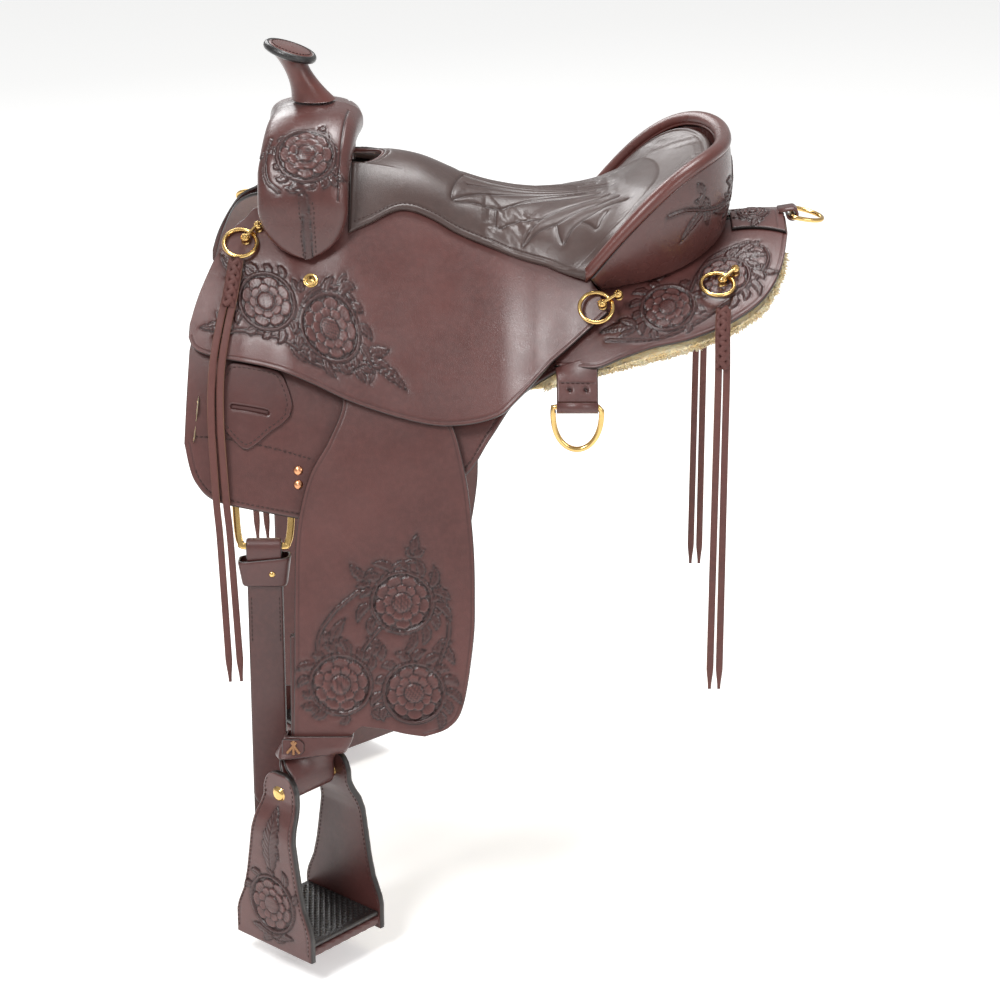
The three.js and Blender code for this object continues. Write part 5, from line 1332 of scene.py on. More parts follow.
def make_cantle():
    steps, count = 240, 26
    angle = np.linspace(-np.pi / 2, np.pi / 2, steps)
    centre, up, out = roll_frame(angle)
    end = 0.8 + 0.2 * smooth(np.minimum(np.arange(steps), steps - 1 - np.arange(steps)) / 34)
    around = 2 * np.pi * np.arange(count) / count
    pinch = 1 - 0.05 * np.maximum(0, np.cos(around - 2.2)) ** 8
    across = ROLL_WIDTH * end[:, None] * (np.cos(around) * pinch)
    rise = ROLL_HEIGHT * end[:, None] * (np.sin(around) * pinch)
    rings = centre[:, None] + across[..., None] * out[:, None] + rise[..., None] * up[:, None]
    points, quads, tris = loft(rings)
    single("cantle_roll", points, quads, GLOSS, "saddle", tris=tris, nodes=["cantle_roll"])
    piping = centre - out * (ROLL_WIDTH * end * 0.86)[:, None] - up * (ROLL_HEIGHT * end * 0.55)[:, None]
    points, quads, tris = tube(piping[6:-6], 1.7, 10)
    single("cantle_piping", points, quads, GLOSS, "saddle", tris=tris)
    reach = math.radians(89.8)
    nu, nv = 330, 90
    angles = np.linspace(-reach, reach, nu)
    centre, up, out = roll_frame(angles)
    top = centre - up * (0.6 * ROLL_HEIGHT) + out * (0.3 * ROLL_WIDTH)
    base = cantle_base(angles)
    base[:, 2] = np.minimum(base[:, 2], top[:, 2] - 6)
    v = np.linspace(0, 1, nv)
    p = top[:, None] * (1 - v)[None, :, None] + base[:, None] * v[None, :, None]
    swell = np.stack([np.cos(angles), np.sin(angles), 0 * angles], -1)
    p = p + swell[:, None] * (5 * np.sin(np.pi * v))[None, :, None]
    run = np.concatenate([[0], np.cumsum(np.linalg.norm(np.diff(p[:, nv // 2], axis=0), axis=1))])
    run = run - run[-1] / 2
    height = np.linalg.norm(top - base, axis=1)
    a, b = np.broadcast_to(run[:, None], (nu, nv)), height[:, None] * v[None]
    marks, rise = np.zeros((nu, nv, 3)), np.zeros((nu, nv))
    for side in (-1, 1):
        carve = Tooling(a * side, b)
        carve.sprig((34, 40), 30, 46, 0.5, 7, 3, 0.8)
        carve.sprig((40, 64), 10, 54, -0.4, 7, 3, 0.7)
        carve.sprig((100, 46), 10, 50, 0.5, 6.5, 3, 0.8)
        carve.sprig((108, 30), -20, 36, 0.5, 5.5, 2, 0.8)
        carve.stem([[0, 64], [20, 54], [44, 52], [74, 58], [104, 52], [136, 34], [160, 24]], 1.9)
        new_rise, new_marks = carve.finish()
        half = (a * side >= 0)
        rise += np.where(half, new_rise, 0)
        marks += np.where(half[..., None], new_marks, 0)
    rows = Tooling(a, b)
    rows.flower((0, 48), 26, 8, 0.3)
    new_rise, new_marks = rows.finish()
    here = np.abs(a) < 34
    rise, marks = np.where(here, new_rise, rise), np.where(here[..., None], new_marks, marks)
    points, quads, marks = sheet(p, 3.5, rise, marks, out=(1, 0, 0))
    single("cantle_back", points, quads, SWELL, "saddle", marks, nodes=["cantle_back"])


# ---- Front rigging, latigo, billet and keepers ---------------------------------------------------
RIGGING_X, RIGGING_S, RIGGING_DROP, RIGGING_WIDTH = -266.0, SKIRT_DROP - 50, 92.0, 66.0
RIGGING_TUCK, RIGGING_LIFT = 20, -4.9
KEEPER_GAP = 0.4
LATIGO_WIDTH, LATIGO_DROP = 40.0, 360.0


def flat_frame(x, s, lift):
    out, z, slope = (float(v) for v in profile(x, s))
    normal = np.array([0, -math.sin(slope), math.cos(slope)])
    down = np.array([0, -math.cos(slope), -math.sin(slope)])
    return np.array([x, -out, z]) + normal * lift, normal, down


def closed_bar(path, normal, a, b, count=16, power=2.0):
    ahead = unit(np.roll(path, -1, 0) - np.roll(path, 1, 0))
    side = unit(np.cross(ahead, normal))
    _, c, s = section(count, 2 / power, start=0)
    rings = path[:, None] + a * c[:, None] * side[:, None] + b * s[:, None] * np.asarray(normal)
    return loft(rings, True)


def closed_spline(points, count):
    points = np.asarray(points, float)
    around = spline(np.concatenate([points[-2:], points, points[:3]]), 4 * count)
    gap, half = np.linalg.norm(around - points[0], axis=1), len(around) // 2
    loop = around[int(gap[:half].argmin()):half + int(gap[half:].argmin())]
    return loop[np.linspace(0, len(loop) - 1, count).astype(int)]


def rigging_bar():
    centre, _, down = flat_frame(RIGGING_X, RIGGING_S + RIGGING_TUCK, RIGGING_LIFT)
    return centre + down * (RIGGING_DROP - RIGGING_TUCK)


def make_rigging():
    centre, normal, down = flat_frame(RIGGING_X, RIGGING_S + RIGGING_TUCK, RIGGING_LIFT)
    half, low_end = RIGGING_WIDTH / 2, RIGGING_DROP
    outline = [
        (-half, 14), (-half + 3, 4), (-half + 10, 0), (half - 10, 0), (half - 3, 4), (half, 14),
        (half - 2, low_end - 34), (half - 4, low_end - 12), (half - 7, low_end - 3),
        (half - 11, low_end), (11 - half, low_end),
        (7 - half, low_end - 3), (4 - half, low_end - 12), (2 - half, low_end - 34),
    ]
    flat = closed_spline(outline, 120)
    path = centre + flat[:, :1] * np.array([1, 0, 0]) + (flat[:, 1:] - RIGGING_TUCK) * down
    points, quads, tris = closed_bar(path, normal, 4, 2, 20, 3)
    pair("front_rigging", points, quads, BRASS, "saddle", tris=tris, nodes=["front_rigging"])


def make_latigo(name, body, ply_drop, side):
    """A strap folded over the rigging's bar in two plies, with a stitched sleeve and a stud."""
    bar = rigging_bar()
    deep, tall = 4.8, 6.6
    outer = [(0.6, -LATIGO_DROP), (0.6, -200), (0.6, -34), (deep, -13)]
    outer += [(deep * math.cos(a), tall * math.sin(a)) for a in np.linspace(0, np.pi, 13)]
    outer += [(-deep, -13), (-0.6, -34), (-0.6, -ply_drop)]
    line = np.array(outer)
    run = np.concatenate([[0], np.cumsum(np.linalg.norm(np.diff(line, axis=0), axis=1))])
    even = np.linspace(0, run[-1], 330)
    line = smoothed(np.stack([np.interp(even, run, line[:, k]) for k in (0, 1)], 1), 4)
    across = np.linspace(-0.5, 0.5, 30) * LATIGO_WIDTH
    from_end = np.minimum(even, run[-1] - even)
    narrow = 1 - 0.28 * (1 - np.clip(from_end / 14, 0, 1)) ** 2
    p = np.zeros((len(line), len(across), 3))
    p[..., 0] = bar[0] + across[None] * narrow[:, None]
    p[..., 1] = bar[1] + line[:, :1]
    p[..., 2] = bar[2] + line[:, 1:]
    ahead = unit(np.gradient(line, axis=0))
    outward = np.stack([0 * ahead[:, 0], ahead[:, 1], -ahead[:, 0]], 1)
    if (outward[:, 1] * (line[:, 0] > 0)).sum() < 0:
        outward = -outward
    d = edge_distance(p)
    points, quads = shell(p, p + outward[:, None] * (LEATHER - edge_round(d))[..., None])
    marks = np.zeros((2, *p.shape))
    marks[1, ..., 1] = edge_mark(d)
    marks[0, ..., 1] = 1 - smooth(d / 2)
    single(name, points * np.array([1, side, 1]), quads, STRAP, body, marks.reshape(-1, 3), nodes=[name])
    face = bar[1] - 4.8
    rows = []
    for x0 in (-LATIGO_WIDTH / 2 + 4, LATIGO_WIDTH / 2 - 4):
        at = np.stack([np.full(80, bar[0] + x0), np.full(80, face), bar[2] - np.linspace(60, 120, 80)], 1)
        rows.append(stitches(at, np.broadcast_to([0.0, -1, 0], at.shape)))
    points, quads, tris = merge(*rows)
    single(f"{name}_stitches", points * [1, side, 1], quads, THREAD, body, tris=tris)
    if ply_drop < 200:
        return
    _, c, s = section(72, 0.3, 0.5)
    rings, tint = [], []
    for grow, order in ((3.0, 1), (0.0, -1)):
        for t in np.linspace(0, 1, 24)[::order]:
            edge = 1.0 - 0.35 * (max(0.0, 1 - 12 * min(t, 1 - t)) if grow else 0)
            wide, deep_half = lerp(27.5, 22.5, t) + grow * edge, lerp(9.5, 7.0, t) + grow * edge
            centre = np.array([bar[0], bar[1], bar[2] - lerp(13, 46, t)])
            offsets = np.stack([wide * c, deep_half * s, 3.0 * (1 - t) * c], 1)
            rings.append(centre + offsets)
            tint.append(0.9 if min(t, 1 - t) < 0.03 else 0.0)
    points, quads, tris = loft(rings, True)
    marks = np.zeros((len(rings), 72, 3))
    marks[..., 1] = np.array(tint)[:, None]
    single(f"{name}_sleeve", points * [1, side, 1], quads, STRAP, body, marks.reshape(-1, 3), tris)
    stud = rivet(np.array([bar[0] + 9, bar[1] - 11.4, bar[2] - 30]), np.array([0.0, -1, 0]), 3.6, 1.8)
    single(f"{name}_stud", stud[0] * [1, side, 1], stud[1], BRASS, body, tris=stud[2])


def make_keepers():
    upper = [[-56, 286], [-50, 268], [-38, 248], [-30, 239], [-2, 238]]
    upper += [[26, 239], [36, 252], [42, 270], [40, 280]]
    lower = [[-56, 290], [-50, 300], [-40, 312], [-28, 324], [-14, 333]]
    lower += [[0, 324], [16, 308], [30, 296], [40, 284]]
    shift = [[[RIGGING_X - 6 + x * 0.94, max(s, 226)] for x, s in edge] for edge in (upper, lower)]
    x, s = between(shift[0], shift[1], 1.4)
    p = on_back(x, s, SKIRT_THICKNESS + KEEPER_GAP)
    cut = Tooling(x, s)
    slot = np.array([[RIGGING_X - 33, 287.0], [RIGGING_X - 14, 287.0], [RIGGING_X + 5, 287.0]])
    # Painted shade: the slot is painted dark for the shade inside it.
    cut.groove(slot, 2.3, 3.7, 0.95)
    rim = closed_spline(shift[0] + shift[1][::-1], 160)
    middle = rim.mean(0)
    seam = middle + (rim - middle) * 0.88
    rise, marks = cut.finish()
    points, quads, marks = sheet(p, LEATHER, rise, marks)
    pair("latigo_keeper", points, quads, STRAP, "saddle", marks, nodes=["latigo_keeper"])
    at, normal = normals_along(lambda a, b: on_back(a, b, SKIRT_THICKNESS + KEEPER_GAP), seam, LEATHER)
    stitch_row("keeper_stitches", at, normal)


# ---- Fenders, stirrup leathers and hobbles -------------------------------------------------------
STRAP_WIDTH, STRAP_THICKNESS, STRAP_X = 64.0, 4.5, -205.0
FENDER_TOP_S, FENDER_BOTTOM_S = 206.0, 624.0
BOLT_DROP, BOLT_RADIUS, STIRRUP_TWIST = 57.0, 7.0, math.radians(48)
PLY_OFFSET, BOLT_AHEAD = 7.4, 14.0
HOBBLE_GAP, STRAP_SHARE = 4.2, 0.24
FENDER_FRONT = [
    [-190, FENDER_TOP_S], [-184, 228], [-176, 252], [-192, 291], [-214, 330], [-228, 391], [-231, 470],
    [-232, 550], [STRAP_X - STRAP_WIDTH / 2 + 3, FENDER_BOTTOM_S],
    [STRAP_X - STRAP_WIDTH / 2 + 3, FENDER_BOTTOM_S + 8],
]
FENDER_REAR = [
    [-140, FENDER_TOP_S], [-104, 232], [-60, 262], [-40, 320], [-30, 400], [-28, 470], [-30, 520], [-41, 590],
    [-57, 616], [-85, FENDER_BOTTOM_S + 3],
]
FENDER_NOTCH = [
    [STRAP_X + STRAP_WIDTH / 2 - 3, FENDER_BOTTOM_S + 8], [-163, FENDER_BOTTOM_S - 8],
    [-150, 616], [-128, 619],
    [-106, 624], [-85, FENDER_BOTTOM_S + 3],
]


def raw_spline(points, t):
    """A smooth curve at shares t, evenly spaced by its points rather than by length."""
    p = np.asarray(points, float)
    t = np.clip(np.asarray(t, float), 0, 1) * (len(p) - 1)
    k = np.minimum(t.astype(int), len(p) - 2)
    f = (t - k)[..., None]
    p0, p1, p2, p3 = p[np.maximum(k - 1, 0)], p[k], p[k + 1], p[np.minimum(k + 2, len(p) - 1)]
    v0, v1 = (p2 - p0) / 2, (p3 - p1) / 2
    return (2 * p1 - 2 * p2 + v0 + v1) * f ** 3 + (-3 * p1 + 3 * p2 - 2 * v0 - v1) * f ** 2 + v0 * f + p1


def fender_grid(nu, nv):
    u, v = np.meshgrid(np.linspace(0, 1, nu), np.linspace(0, 1, nv), indexing="ij")
    a, b = raw_spline(FENDER_FRONT, v), raw_spline(FENDER_REAR, v)
    front, rear = raw_spline(FENDER_FRONT, 1.0), raw_spline(FENDER_REAR, 1.0)
    notch = raw_spline(FENDER_NOTCH, (u - STRAP_SHARE) / (1 - STRAP_SHARE))
    strap = lerp(front, raw_spline(FENDER_NOTCH, 0.0), np.clip(u / STRAP_SHARE, 0, 1)[..., None])
    end = np.where((u < STRAP_SHARE)[..., None], strap, notch)
    flat = lerp(front, rear, u[..., None])
    at = lerp(a, b, u[..., None]) + (end - flat) * smooth((v - 0.6) / 0.4)[..., None]
    return at[..., 0], at[..., 1]


def make_fenders():
    x, s = fender_grid(140, 310)
    carve = Tooling(x, s)
    carve.sprig((-96, 420), -95, 26, 0.3, 6, 3, 0.7)
    carve.sprig((-146, 448), 200, 30, 0.6, 6.5, 3, 0.8)
    carve.sprig((-74, 486), -70, 44, -0.5, 7, 3, 0.6)
    carve.sprig((-70, 520), 30, 30, 0.6, 6, 3, 0.8)
    carve.sprig((-134, 520), 130, 34, 0.5, 6.5, 3, 0.8)
    carve.sprig((-190, 520), -80, 34, 0.5, 6, 3, 0.7)
    carve.sprig((-144, 596), 20, 30, -0.5, 6, 3, 0.8)
    carve.sprig((-210, 590), 110, 26, 0.5, 5.5, 2, 0.6)
    carve.stem([[-96, 424], [-118, 430], [-136, 448]], 2.0)
    carve.stem([[-78, 440], [-62, 470], [-58, 510], [-72, 548]], 2.0)
    carve.stem([[-134, 500], [-150, 520], [-160, 540]], 2.0)
    carve.stem([[-206, 540], [-204, 510], [-186, 482], [-158, 458]], 2.0)
    carve.wreath((-110, 472), 33, 150, 330, 8, 22, -0.7)
    carve.wreath((-110, 472), 33, -20, 70, 5, 26, 0.6)
    carve.wreath((-180, 566), 33, 190, 330, 7, 20, -0.6)
    carve.wreath((-180, 566), 33, 80, 160, 3, 16, 0.5)
    carve.wreath((-97, 576), 33, -90, 40, 7, 22, 0.6)
    carve.wreath((-97, 576), 33, 150, 260, 5, 18, -0.6)
    carve.flower((-110, 472), 35, 9, 0.2)
    carve.flower((-180, 566), 35, 9, 0.5)
    carve.flower((-97, 576), 35, 9, 0.9)
    for edge in (FENDER_FRONT[1:], FENDER_REAR[1:]):
        line = offset(spline(edge, 260), -4.5 if edge[0][0] == FENDER_FRONT[1][0] else 4.5)
        carve.groove(line, 0.8, 0.3, 0.35, 160)
    rise, marks = carve.finish()
    points, quads, marks = sheet(on_leg(x, s, FENDER_LIFT), FENDER_THICKNESS, rise, marks)
    pair("fender", points, quads, BROWN, "leg", marks, nodes=["fender"])


LEG_SLOPE = float(profile(LEG_X, 600.0, 78.0)[2])
LEG_DOWN = np.array([0, -math.cos(LEG_SLOPE), -math.sin(LEG_SLOPE)])
LEG_NORMAL = np.array([0, -math.sin(LEG_SLOPE), math.cos(LEG_SLOPE)])
HOBBLE_TOP = on_leg(np.array([STRAP_X]), np.array([FENDER_BOTTOM_S]), FENDER_LIFT)[0]
BOLT = HOBBLE_TOP + [-BOLT_AHEAD, 0, 0] + BOLT_DROP * LEG_DOWN - PLY_OFFSET * LEG_NORMAL
BOLT_AXIS = np.array([math.cos(STIRRUP_TWIST), math.sin(STIRRUP_TWIST), 0])
TREAD_AXIS = np.array([-math.sin(STIRRUP_TWIST), math.cos(STIRRUP_TWIST), 0])


def strap_frame(d):
    twist = STIRRUP_TWIST * (1 - float(smooth((d - 12) / (BOLT_DROP - 25))))
    width = np.array([math.cos(twist), math.sin(twist), 0])
    normal = unit(np.cross(width, LEG_DOWN))
    normal = -normal if normal[1] > 0 else normal
    centre = BOLT - d * LEG_DOWN + [BOLT_AHEAD * float(smooth((d - 22) / (BOLT_DROP - 22))), 0, 0]
    return centre, width, normal


def make_leathers():
    flat, round_ = 2.5 + STRAP_THICKNESS, BOLT_RADIUS + 0.4 + STRAP_THICKNESS
    stops = [(d, 1) for d in np.linspace(170, 4, 84)]
    stops += [(a, 0) for a in np.linspace(0, np.pi, 24)]
    stops += [(d, -1) for d in np.linspace(4, 170, 84)]
    across = np.linspace(-0.5, 0.5, 34) * STRAP_WIDTH
    p = []
    for d, side in stops:
        centre, width, normal = strap_frame(0 if side == 0 else d)
        if side == 0:
            at = centre + normal * round_ * math.cos(d) + LEG_DOWN * round_ * math.sin(d)
        else:
            at = centre + normal * side * lerp(round_, flat, float(smooth(d / 48)))
        p.append(at + across[:, None] * width)
    p = np.array(p)
    normal = unit(np.cross(np.gradient(p, axis=0), np.gradient(p, axis=1)))
    loop = np.array([strap_frame(0 if side == 0 else d)[0] for d, side in stops])
    inward = np.sign(((loop[:, None] - p) * normal).sum(-1, keepdims=True).mean())
    d = edge_distance(p)
    rounded = edge_round(d)
    outer = p + normal * inward * rounded[..., None]
    inner = p + normal * inward * (STRAP_THICKNESS - rounded)[..., None]
    points, quads = shell(outer, inner)
    marks = np.zeros((2, *p.shape))
    marks[..., 1] = edge_mark(d)
    pair("stirrup_leather", points, quads, STRAP, "leg", marks.reshape(-1, 3), nodes=["stirrup_leather"])


def hobble_ring(d, grow):
    a = STRAP_WIDTH / 2 + HOBBLE_GAP + grow
    b, c = PLY_OFFSET + FENDER_THICKNESS + HOBBLE_GAP + grow, 13.2 + grow
    _, cos, sin = section(88, 0.28)
    w = a * cos
    n = np.where(sin > 0, b, c) * sin
    centre, width, normal = strap_frame(d)
    return centre + w[:, None] * width + n[:, None] * normal


def make_hobbles():
    drops = BOLT_DROP - np.linspace(1, 25, 26)
    edge = np.minimum(np.arange(26), 25 - np.arange(26)) * 24 / 25
    ease = 1.2 * (1 - np.sqrt(1 - (1 - np.clip(edge / 1.2, 0, 1)) ** 2))
    outer = [hobble_ring(d, 3 - e) for d, e in zip(drops, ease)]
    inner = [hobble_ring(d, 0) for d in drops[::-1]]
    points, quads, tris = loft(outer + inner, True)
    marks = np.zeros((52, 88, 3))
    marks[:26, :, 1] = edge_mark(edge)[:, None]
    pair("hobble_strap", points, quads, STRAP, "leg", marks.reshape(-1, 3), tris, ["hobble_strap"])
    centre, width, normal = strap_frame(BOLT_DROP - 13)
    face = PLY_OFFSET + FENDER_THICKNESS + 7.2
    u, v = np.meshgrid(np.linspace(-37, -12, 30), np.linspace(-9.5, 9.5, 24), indexing="ij")
    point = 1 - 0.55 * np.clip((u + 20) / 8, 0, 1) ** 2
    p = centre + u[..., None] * width + (v * point)[..., None] * LEG_DOWN + face * normal
    points, quads, marks = sheet(p, 2.6, out=normal)
    pair("hobble_end", points, quads, STRAP, "leg", marks)
    tie = []
    for k, turn in enumerate((-0.7, 0.0, 0.6)):
        t = np.linspace(0, 1, 14)[:, None]
        lean = LEG_DOWN * math.cos(turn) + width * math.sin(turn)
        path = centre + (-26 + 2 * k) * width + lerp(-8, 8, t) * lean
        path = path + (face + 3.2 + 1.2 * np.sin(np.pi * t)) * normal
        tie.append(tube(path, 1.5, 8, up=normal))
    points, quads, tris = merge(*tie)
    pair("hobble_tie", points, quads, THONG, "leg", tris=tris)


# ---- Stirrups ------------------------------------------------------------------------------------
STIRRUP_DEPTH, HALF_LENGTH, TREAD_WIDTH, PANEL = 190.0, 57.0, 121.0, 8.0
PANEL_TOP = STRAP_WIDTH / 2 + 6 + PANEL / 2
STATIONS = np.array([
    [-24.5, 9, 0], [-21.5, 16.5, 0], [-15, 22, 0], [-5, 25.5, 0], [8, 26, 0], [20, 28, 0.25], [34, 31, 0.75],
    [48, 33, 1], [80, 38, 1], [104, 42, 1], [128, 48, 1], [150, 58, 1], [160, 60.5, 1],
    [STIRRUP_DEPTH, 60.5, 1],
])


def in_stirrup(along, across, depth):
    same = np.broadcast_arrays(along, across, depth)
    along, across, depth = (np.asarray(v, float)[..., None] for v in same)
    return BOLT + along * BOLT_AXIS + across * TREAD_AXIS - depth * np.array([0, 0, 1])


def make_panel(side, name):
    nu, nv = 210, 84
    depth = np.linspace(STATIONS[0, 0], STIRRUP_DEPTH, nu)
    half = smoothed(np.interp(depth, STATIONS[:, 0], STATIONS[:, 1])[:, None], 2)[:, 0]
    splay = smoothed(np.interp(depth, STATIONS[:, 0], STATIONS[:, 2])[:, None], 10)[:, 0]
    v = np.linspace(-1, 1, nv)
    along = side * lerp(PANEL_TOP, HALF_LENGTH, splay)
    across = half[:, None] * v[None]
    deep = np.broadcast_to(depth[:, None], across.shape)
    carve = Tooling(across, deep)
    if side < 0:
        carve.sprig((0, 66), 0, 26, 0.9, 6, 2, 0.4)
        carve.sprig((0, 66), 180, 26, -0.9, 6, 2, 0.4)
        carve.leaf([[0, 92], [2, 66], [-1, 40], [0, 18]], 13, 6)
        carve.sprig((0, 176), -30, 34, 0.5, 6, 3, 0.5)
        carve.sprig((0, 176), 210, 34, -0.5, 6, 3, 0.5)
        carve.wreath((0, 132), 30, 200, 340, 5, 20, 0.5)
        carve.flower((0, 134), 35, 9, 0.3)
    for turn in (-1, 1):
        carve.groove(np.stack([turn * (np.interp([0, 40, 80, 120, 150, 180], depth, half) - 5),
                               [0, 40, 80, 120, 150, 180]], 1), 0.8, 0.35, 0.4, 90)
    rise, marks = carve.finish()
    if side > 0:
        crease = np.sin(deep * 0.42 + 2 * np.sin(across * 0.11)) * np.exp(-((deep - 60) / 60) ** 2)
        rise = rise + 0.35 * crease
    p = in_stirrup(along[:, None] - side * PANEL / 2, across, deep)
    points, quads, marks = sheet(p, PANEL, rise, marks, 2.2, out=side * BOLT_AXIS)
    pair(f"stirrup_panel_{name}", points, quads, BROWN if side < 0 else STRAP, "stirrup", marks,
         nodes=["stirrup"] if side < 0 else None)
    rows = []
    for turn in (-1, 1):
        for face in (1, -1):
            at = in_stirrup(along + side * face * PANEL / 2, turn * (half - 3.4), depth)[8:-4]
            rows.append(stitches(at, np.broadcast_to(side * face * BOLT_AXIS, at.shape)))
    points, quads, tris = merge(*rows)
    pair(f"stirrup_stitches_{name}", points, quads, THREAD, "stirrup", tris=tris)


def box_grid(length, width, height, centre_depth, radius, name, material, nodes=None):
    """A wrapped board: a rounded section drawn along the bolt's direction."""
    count, steps = 64, 60
    angle, c, s = section(count, 0.22, radius)
    w, h = width / 2 * c, height / 2 * s
    rings = []
    for k, a in enumerate(np.linspace(-length / 2, length / 2, steps)):
        sag = 0.35 * np.sin(9 * angle + k * 0.8) * (np.abs(w) > width / 2 - 4)
        rings.append(in_stirrup(a, w + sag, centre_depth + h))
    points, quads, tris = loft(rings)
    pair(name, points, quads, material, "stirrup", tris=tris, nodes=nodes)


def make_stirrups():
    make_panel(-1, "front")
    make_panel(1, "rear")
    inside = 2 * HALF_LENGTH - PANEL
    box_grid(inside + 1, TREAD_WIDTH - 4, 14, STIRRUP_DEPTH - 10, 0.5, "stirrup_base", STRAP)
    top = STIRRUP_DEPTH - 17 - 0.4
    nu, nv = 120, 130
    lengthwise = np.linspace(-1, 1, nu) * (inside - 1.2) / 2
    u, v = np.meshgrid(lengthwise, np.linspace(-1, 1, nv) * (TREAD_WIDTH - 6) / 2, indexing="ij")
    p = in_stirrup(u, v, top)
    lattice = np.maximum(np.abs(np.sin((u + v) * np.pi / 9)), np.abs(np.sin((u - v) * np.pi / 9)))
    inner = smooth((TREAD_WIDTH / 2 - 10 - np.abs(v)) / 3)
    rise = -1.1 * smooth((0.93 - lattice) / 0.25) * inner
    marks = np.zeros((nu, nv, 3))
    # Painted shade: the tread's lattice grooves are darkened in the red mark.
    marks[..., 0] = np.clip(-0.5 * rise, 0, 0.8)
    points, quads, marks = sheet(p, 5.0, rise, marks, 1.6, out=(0, 0, 1))
    pair("tread", points, quads, BLACK, "stirrup", marks, nodes=["tread"])
    path = in_stirrup(np.linspace(-PANEL_TOP, PANEL_TOP, 12), 0.0, 0.0)
    points, quads, tris = tube(path, BOLT_RADIUS - 0.2, 28)
    pair("stirrup_bolt", points, quads, BRASS, "stirrup", tris=tris)
    heads = []
    for side in (-1, 1):
        face = in_stirrup(side * (PANEL_TOP + PANEL / 2), 0.0, 0.0)
        dome = [(0, 3.5), (4, 3.4), (6.6, 2.6), (7.9, 1.2), (8, 0.2), (9.4, 0.1), (9.4, -0.4), (0, -0.4)]
        heads.append(lathe(dome, face, side * BOLT_AXIS, 32))
    points, quads, tris = merge(*heads)
    pair("stirrup_bolt_heads", points, quads, BRASS, "stirrup", tris=tris)


# ---- Rings, clips, dees and the crupper strap ----------------------------------------------------
RING_RADIUS, RING_TUBE, DEE_TUBE = 18.5, 2.3, 3.2
RING_TILT = math.radians(9)


def jockey_top(x, s):
    at, normal = normals_along(under_seat, np.array([[x, s]], float), LEATHER)
    return at[0], normal[0]


def rear_top(x, s):
    at = on_back(np.array([x]), np.array([s]), REAR_JOCKEY_LIFT + LEATHER)[0]
    return at, normals_along(on_back, np.array([[x, s]], float), 0)[1][0]


def clip_and_ring(name, top, x, s, angle):
    at, normal = top(x, s)
    along_x = unit(top(x + 1, s)[0] - top(x - 1, s)[0])
    down = -unit(np.cross(normal, along_x))
    if (top(x, s + 1)[0] - at) @ down < 0:
        down = -down
    towards = along_x * math.cos(angle) - down * math.sin(angle)
    height = 2 * RING_TUBE + 4.4
    shapes = []
    for turn in (-1, 1):
        foot = at + turn * towards * 10.5
        dome = [(0, height + 2.6), (2.4, height + 2.3), (4.2, height + 1.2), (5.0, height - 0.6)]
        dome += [(5.2, height - 2), (4.4, height - 2.6), (4.2, 1.4), (5.2, 0.9), (5.2, 0.2), (0, 0.2)]
        shapes.append(lathe(dome, foot, normal, 32))
        for k in range(8):
            a = 2 * np.pi * k / 8
            side = unit(np.cross(normal, towards))
            bead = foot + 3.1 * (math.cos(a) * towards + math.sin(a) * side) + (height + 1.4) * normal
            shapes.append(lathe([(0, 1.1), (0.8, 0.8), (1.15, 0), (0.8, -0.8), (0, -1.1)], bead, normal, 10))
    path = at + np.linspace(-10.5, 10.5, 12)[:, None] * towards + height * normal
    shapes.append(tube(path, 2.0, 14, up=normal))
    points, quads, tris = merge(*shapes)
    pair(f"{name}_clip", points, quads, BRASS, "saddle", tris=tris, nodes=[f"{name}_clip"])
    lie = -towards * math.cos(RING_TILT) + normal * math.sin(RING_TILT)
    pivot = at + (RING_TUBE + 0.8) * normal
    axis = unit(np.cross(normal, towards))
    centre = pivot + RING_RADIUS * lie
    around = 2 * np.pi * np.arange(72) / 72
    path = centre + RING_RADIUS * (np.cos(around)[:, None] * lie + np.sin(around)[:, None] * axis)
    points, quads, tris = closed_bar(path, np.cross(lie, axis), RING_TUBE, RING_TUBE, 18)
    pair(f"{name}_ring", points, quads, BRASS, f"{name}_ring", tris=tris, nodes=[f"{name}_ring"])
    return centre, lie


def dee_path(centre, across, deep, width, depth):
    half = width / 2
    flat = [(a, 0.0) for a in np.linspace(-half, half, 14)[:-1]]
    for a in np.linspace(0, np.pi, 64):
        flat.append((half * math.cos(a), 5 + (depth - 5) * max(math.sin(a), 0) ** 0.85))
    flat = np.array(flat)
    return centre + flat[:, :1] * np.asarray(across, float) + flat[:, 1:] * np.asarray(deep, float)


def make_fittings():
    clip_and_ring("front", jockey_top, SWELL_X - 59, 92, 0.98)
    clip_and_ring("middle", jockey_top, CANTLE_X + 29, 134, 0.42)
    clip_and_ring("rear", rear_top, CANTLE_X + 162, 117, 0.72)
    path = dee_path(dee_bar(), (1, 0, 0), (0, 0, -1), 54, 50)
    points, quads, tris = closed_bar(path, np.array([0, -1.0, 0]), DEE_TUBE, DEE_TUBE, 18)
    pair("rear_dee", points, quads, BRASS, "rear_dee", tris=tris, nodes=["rear_dee"])


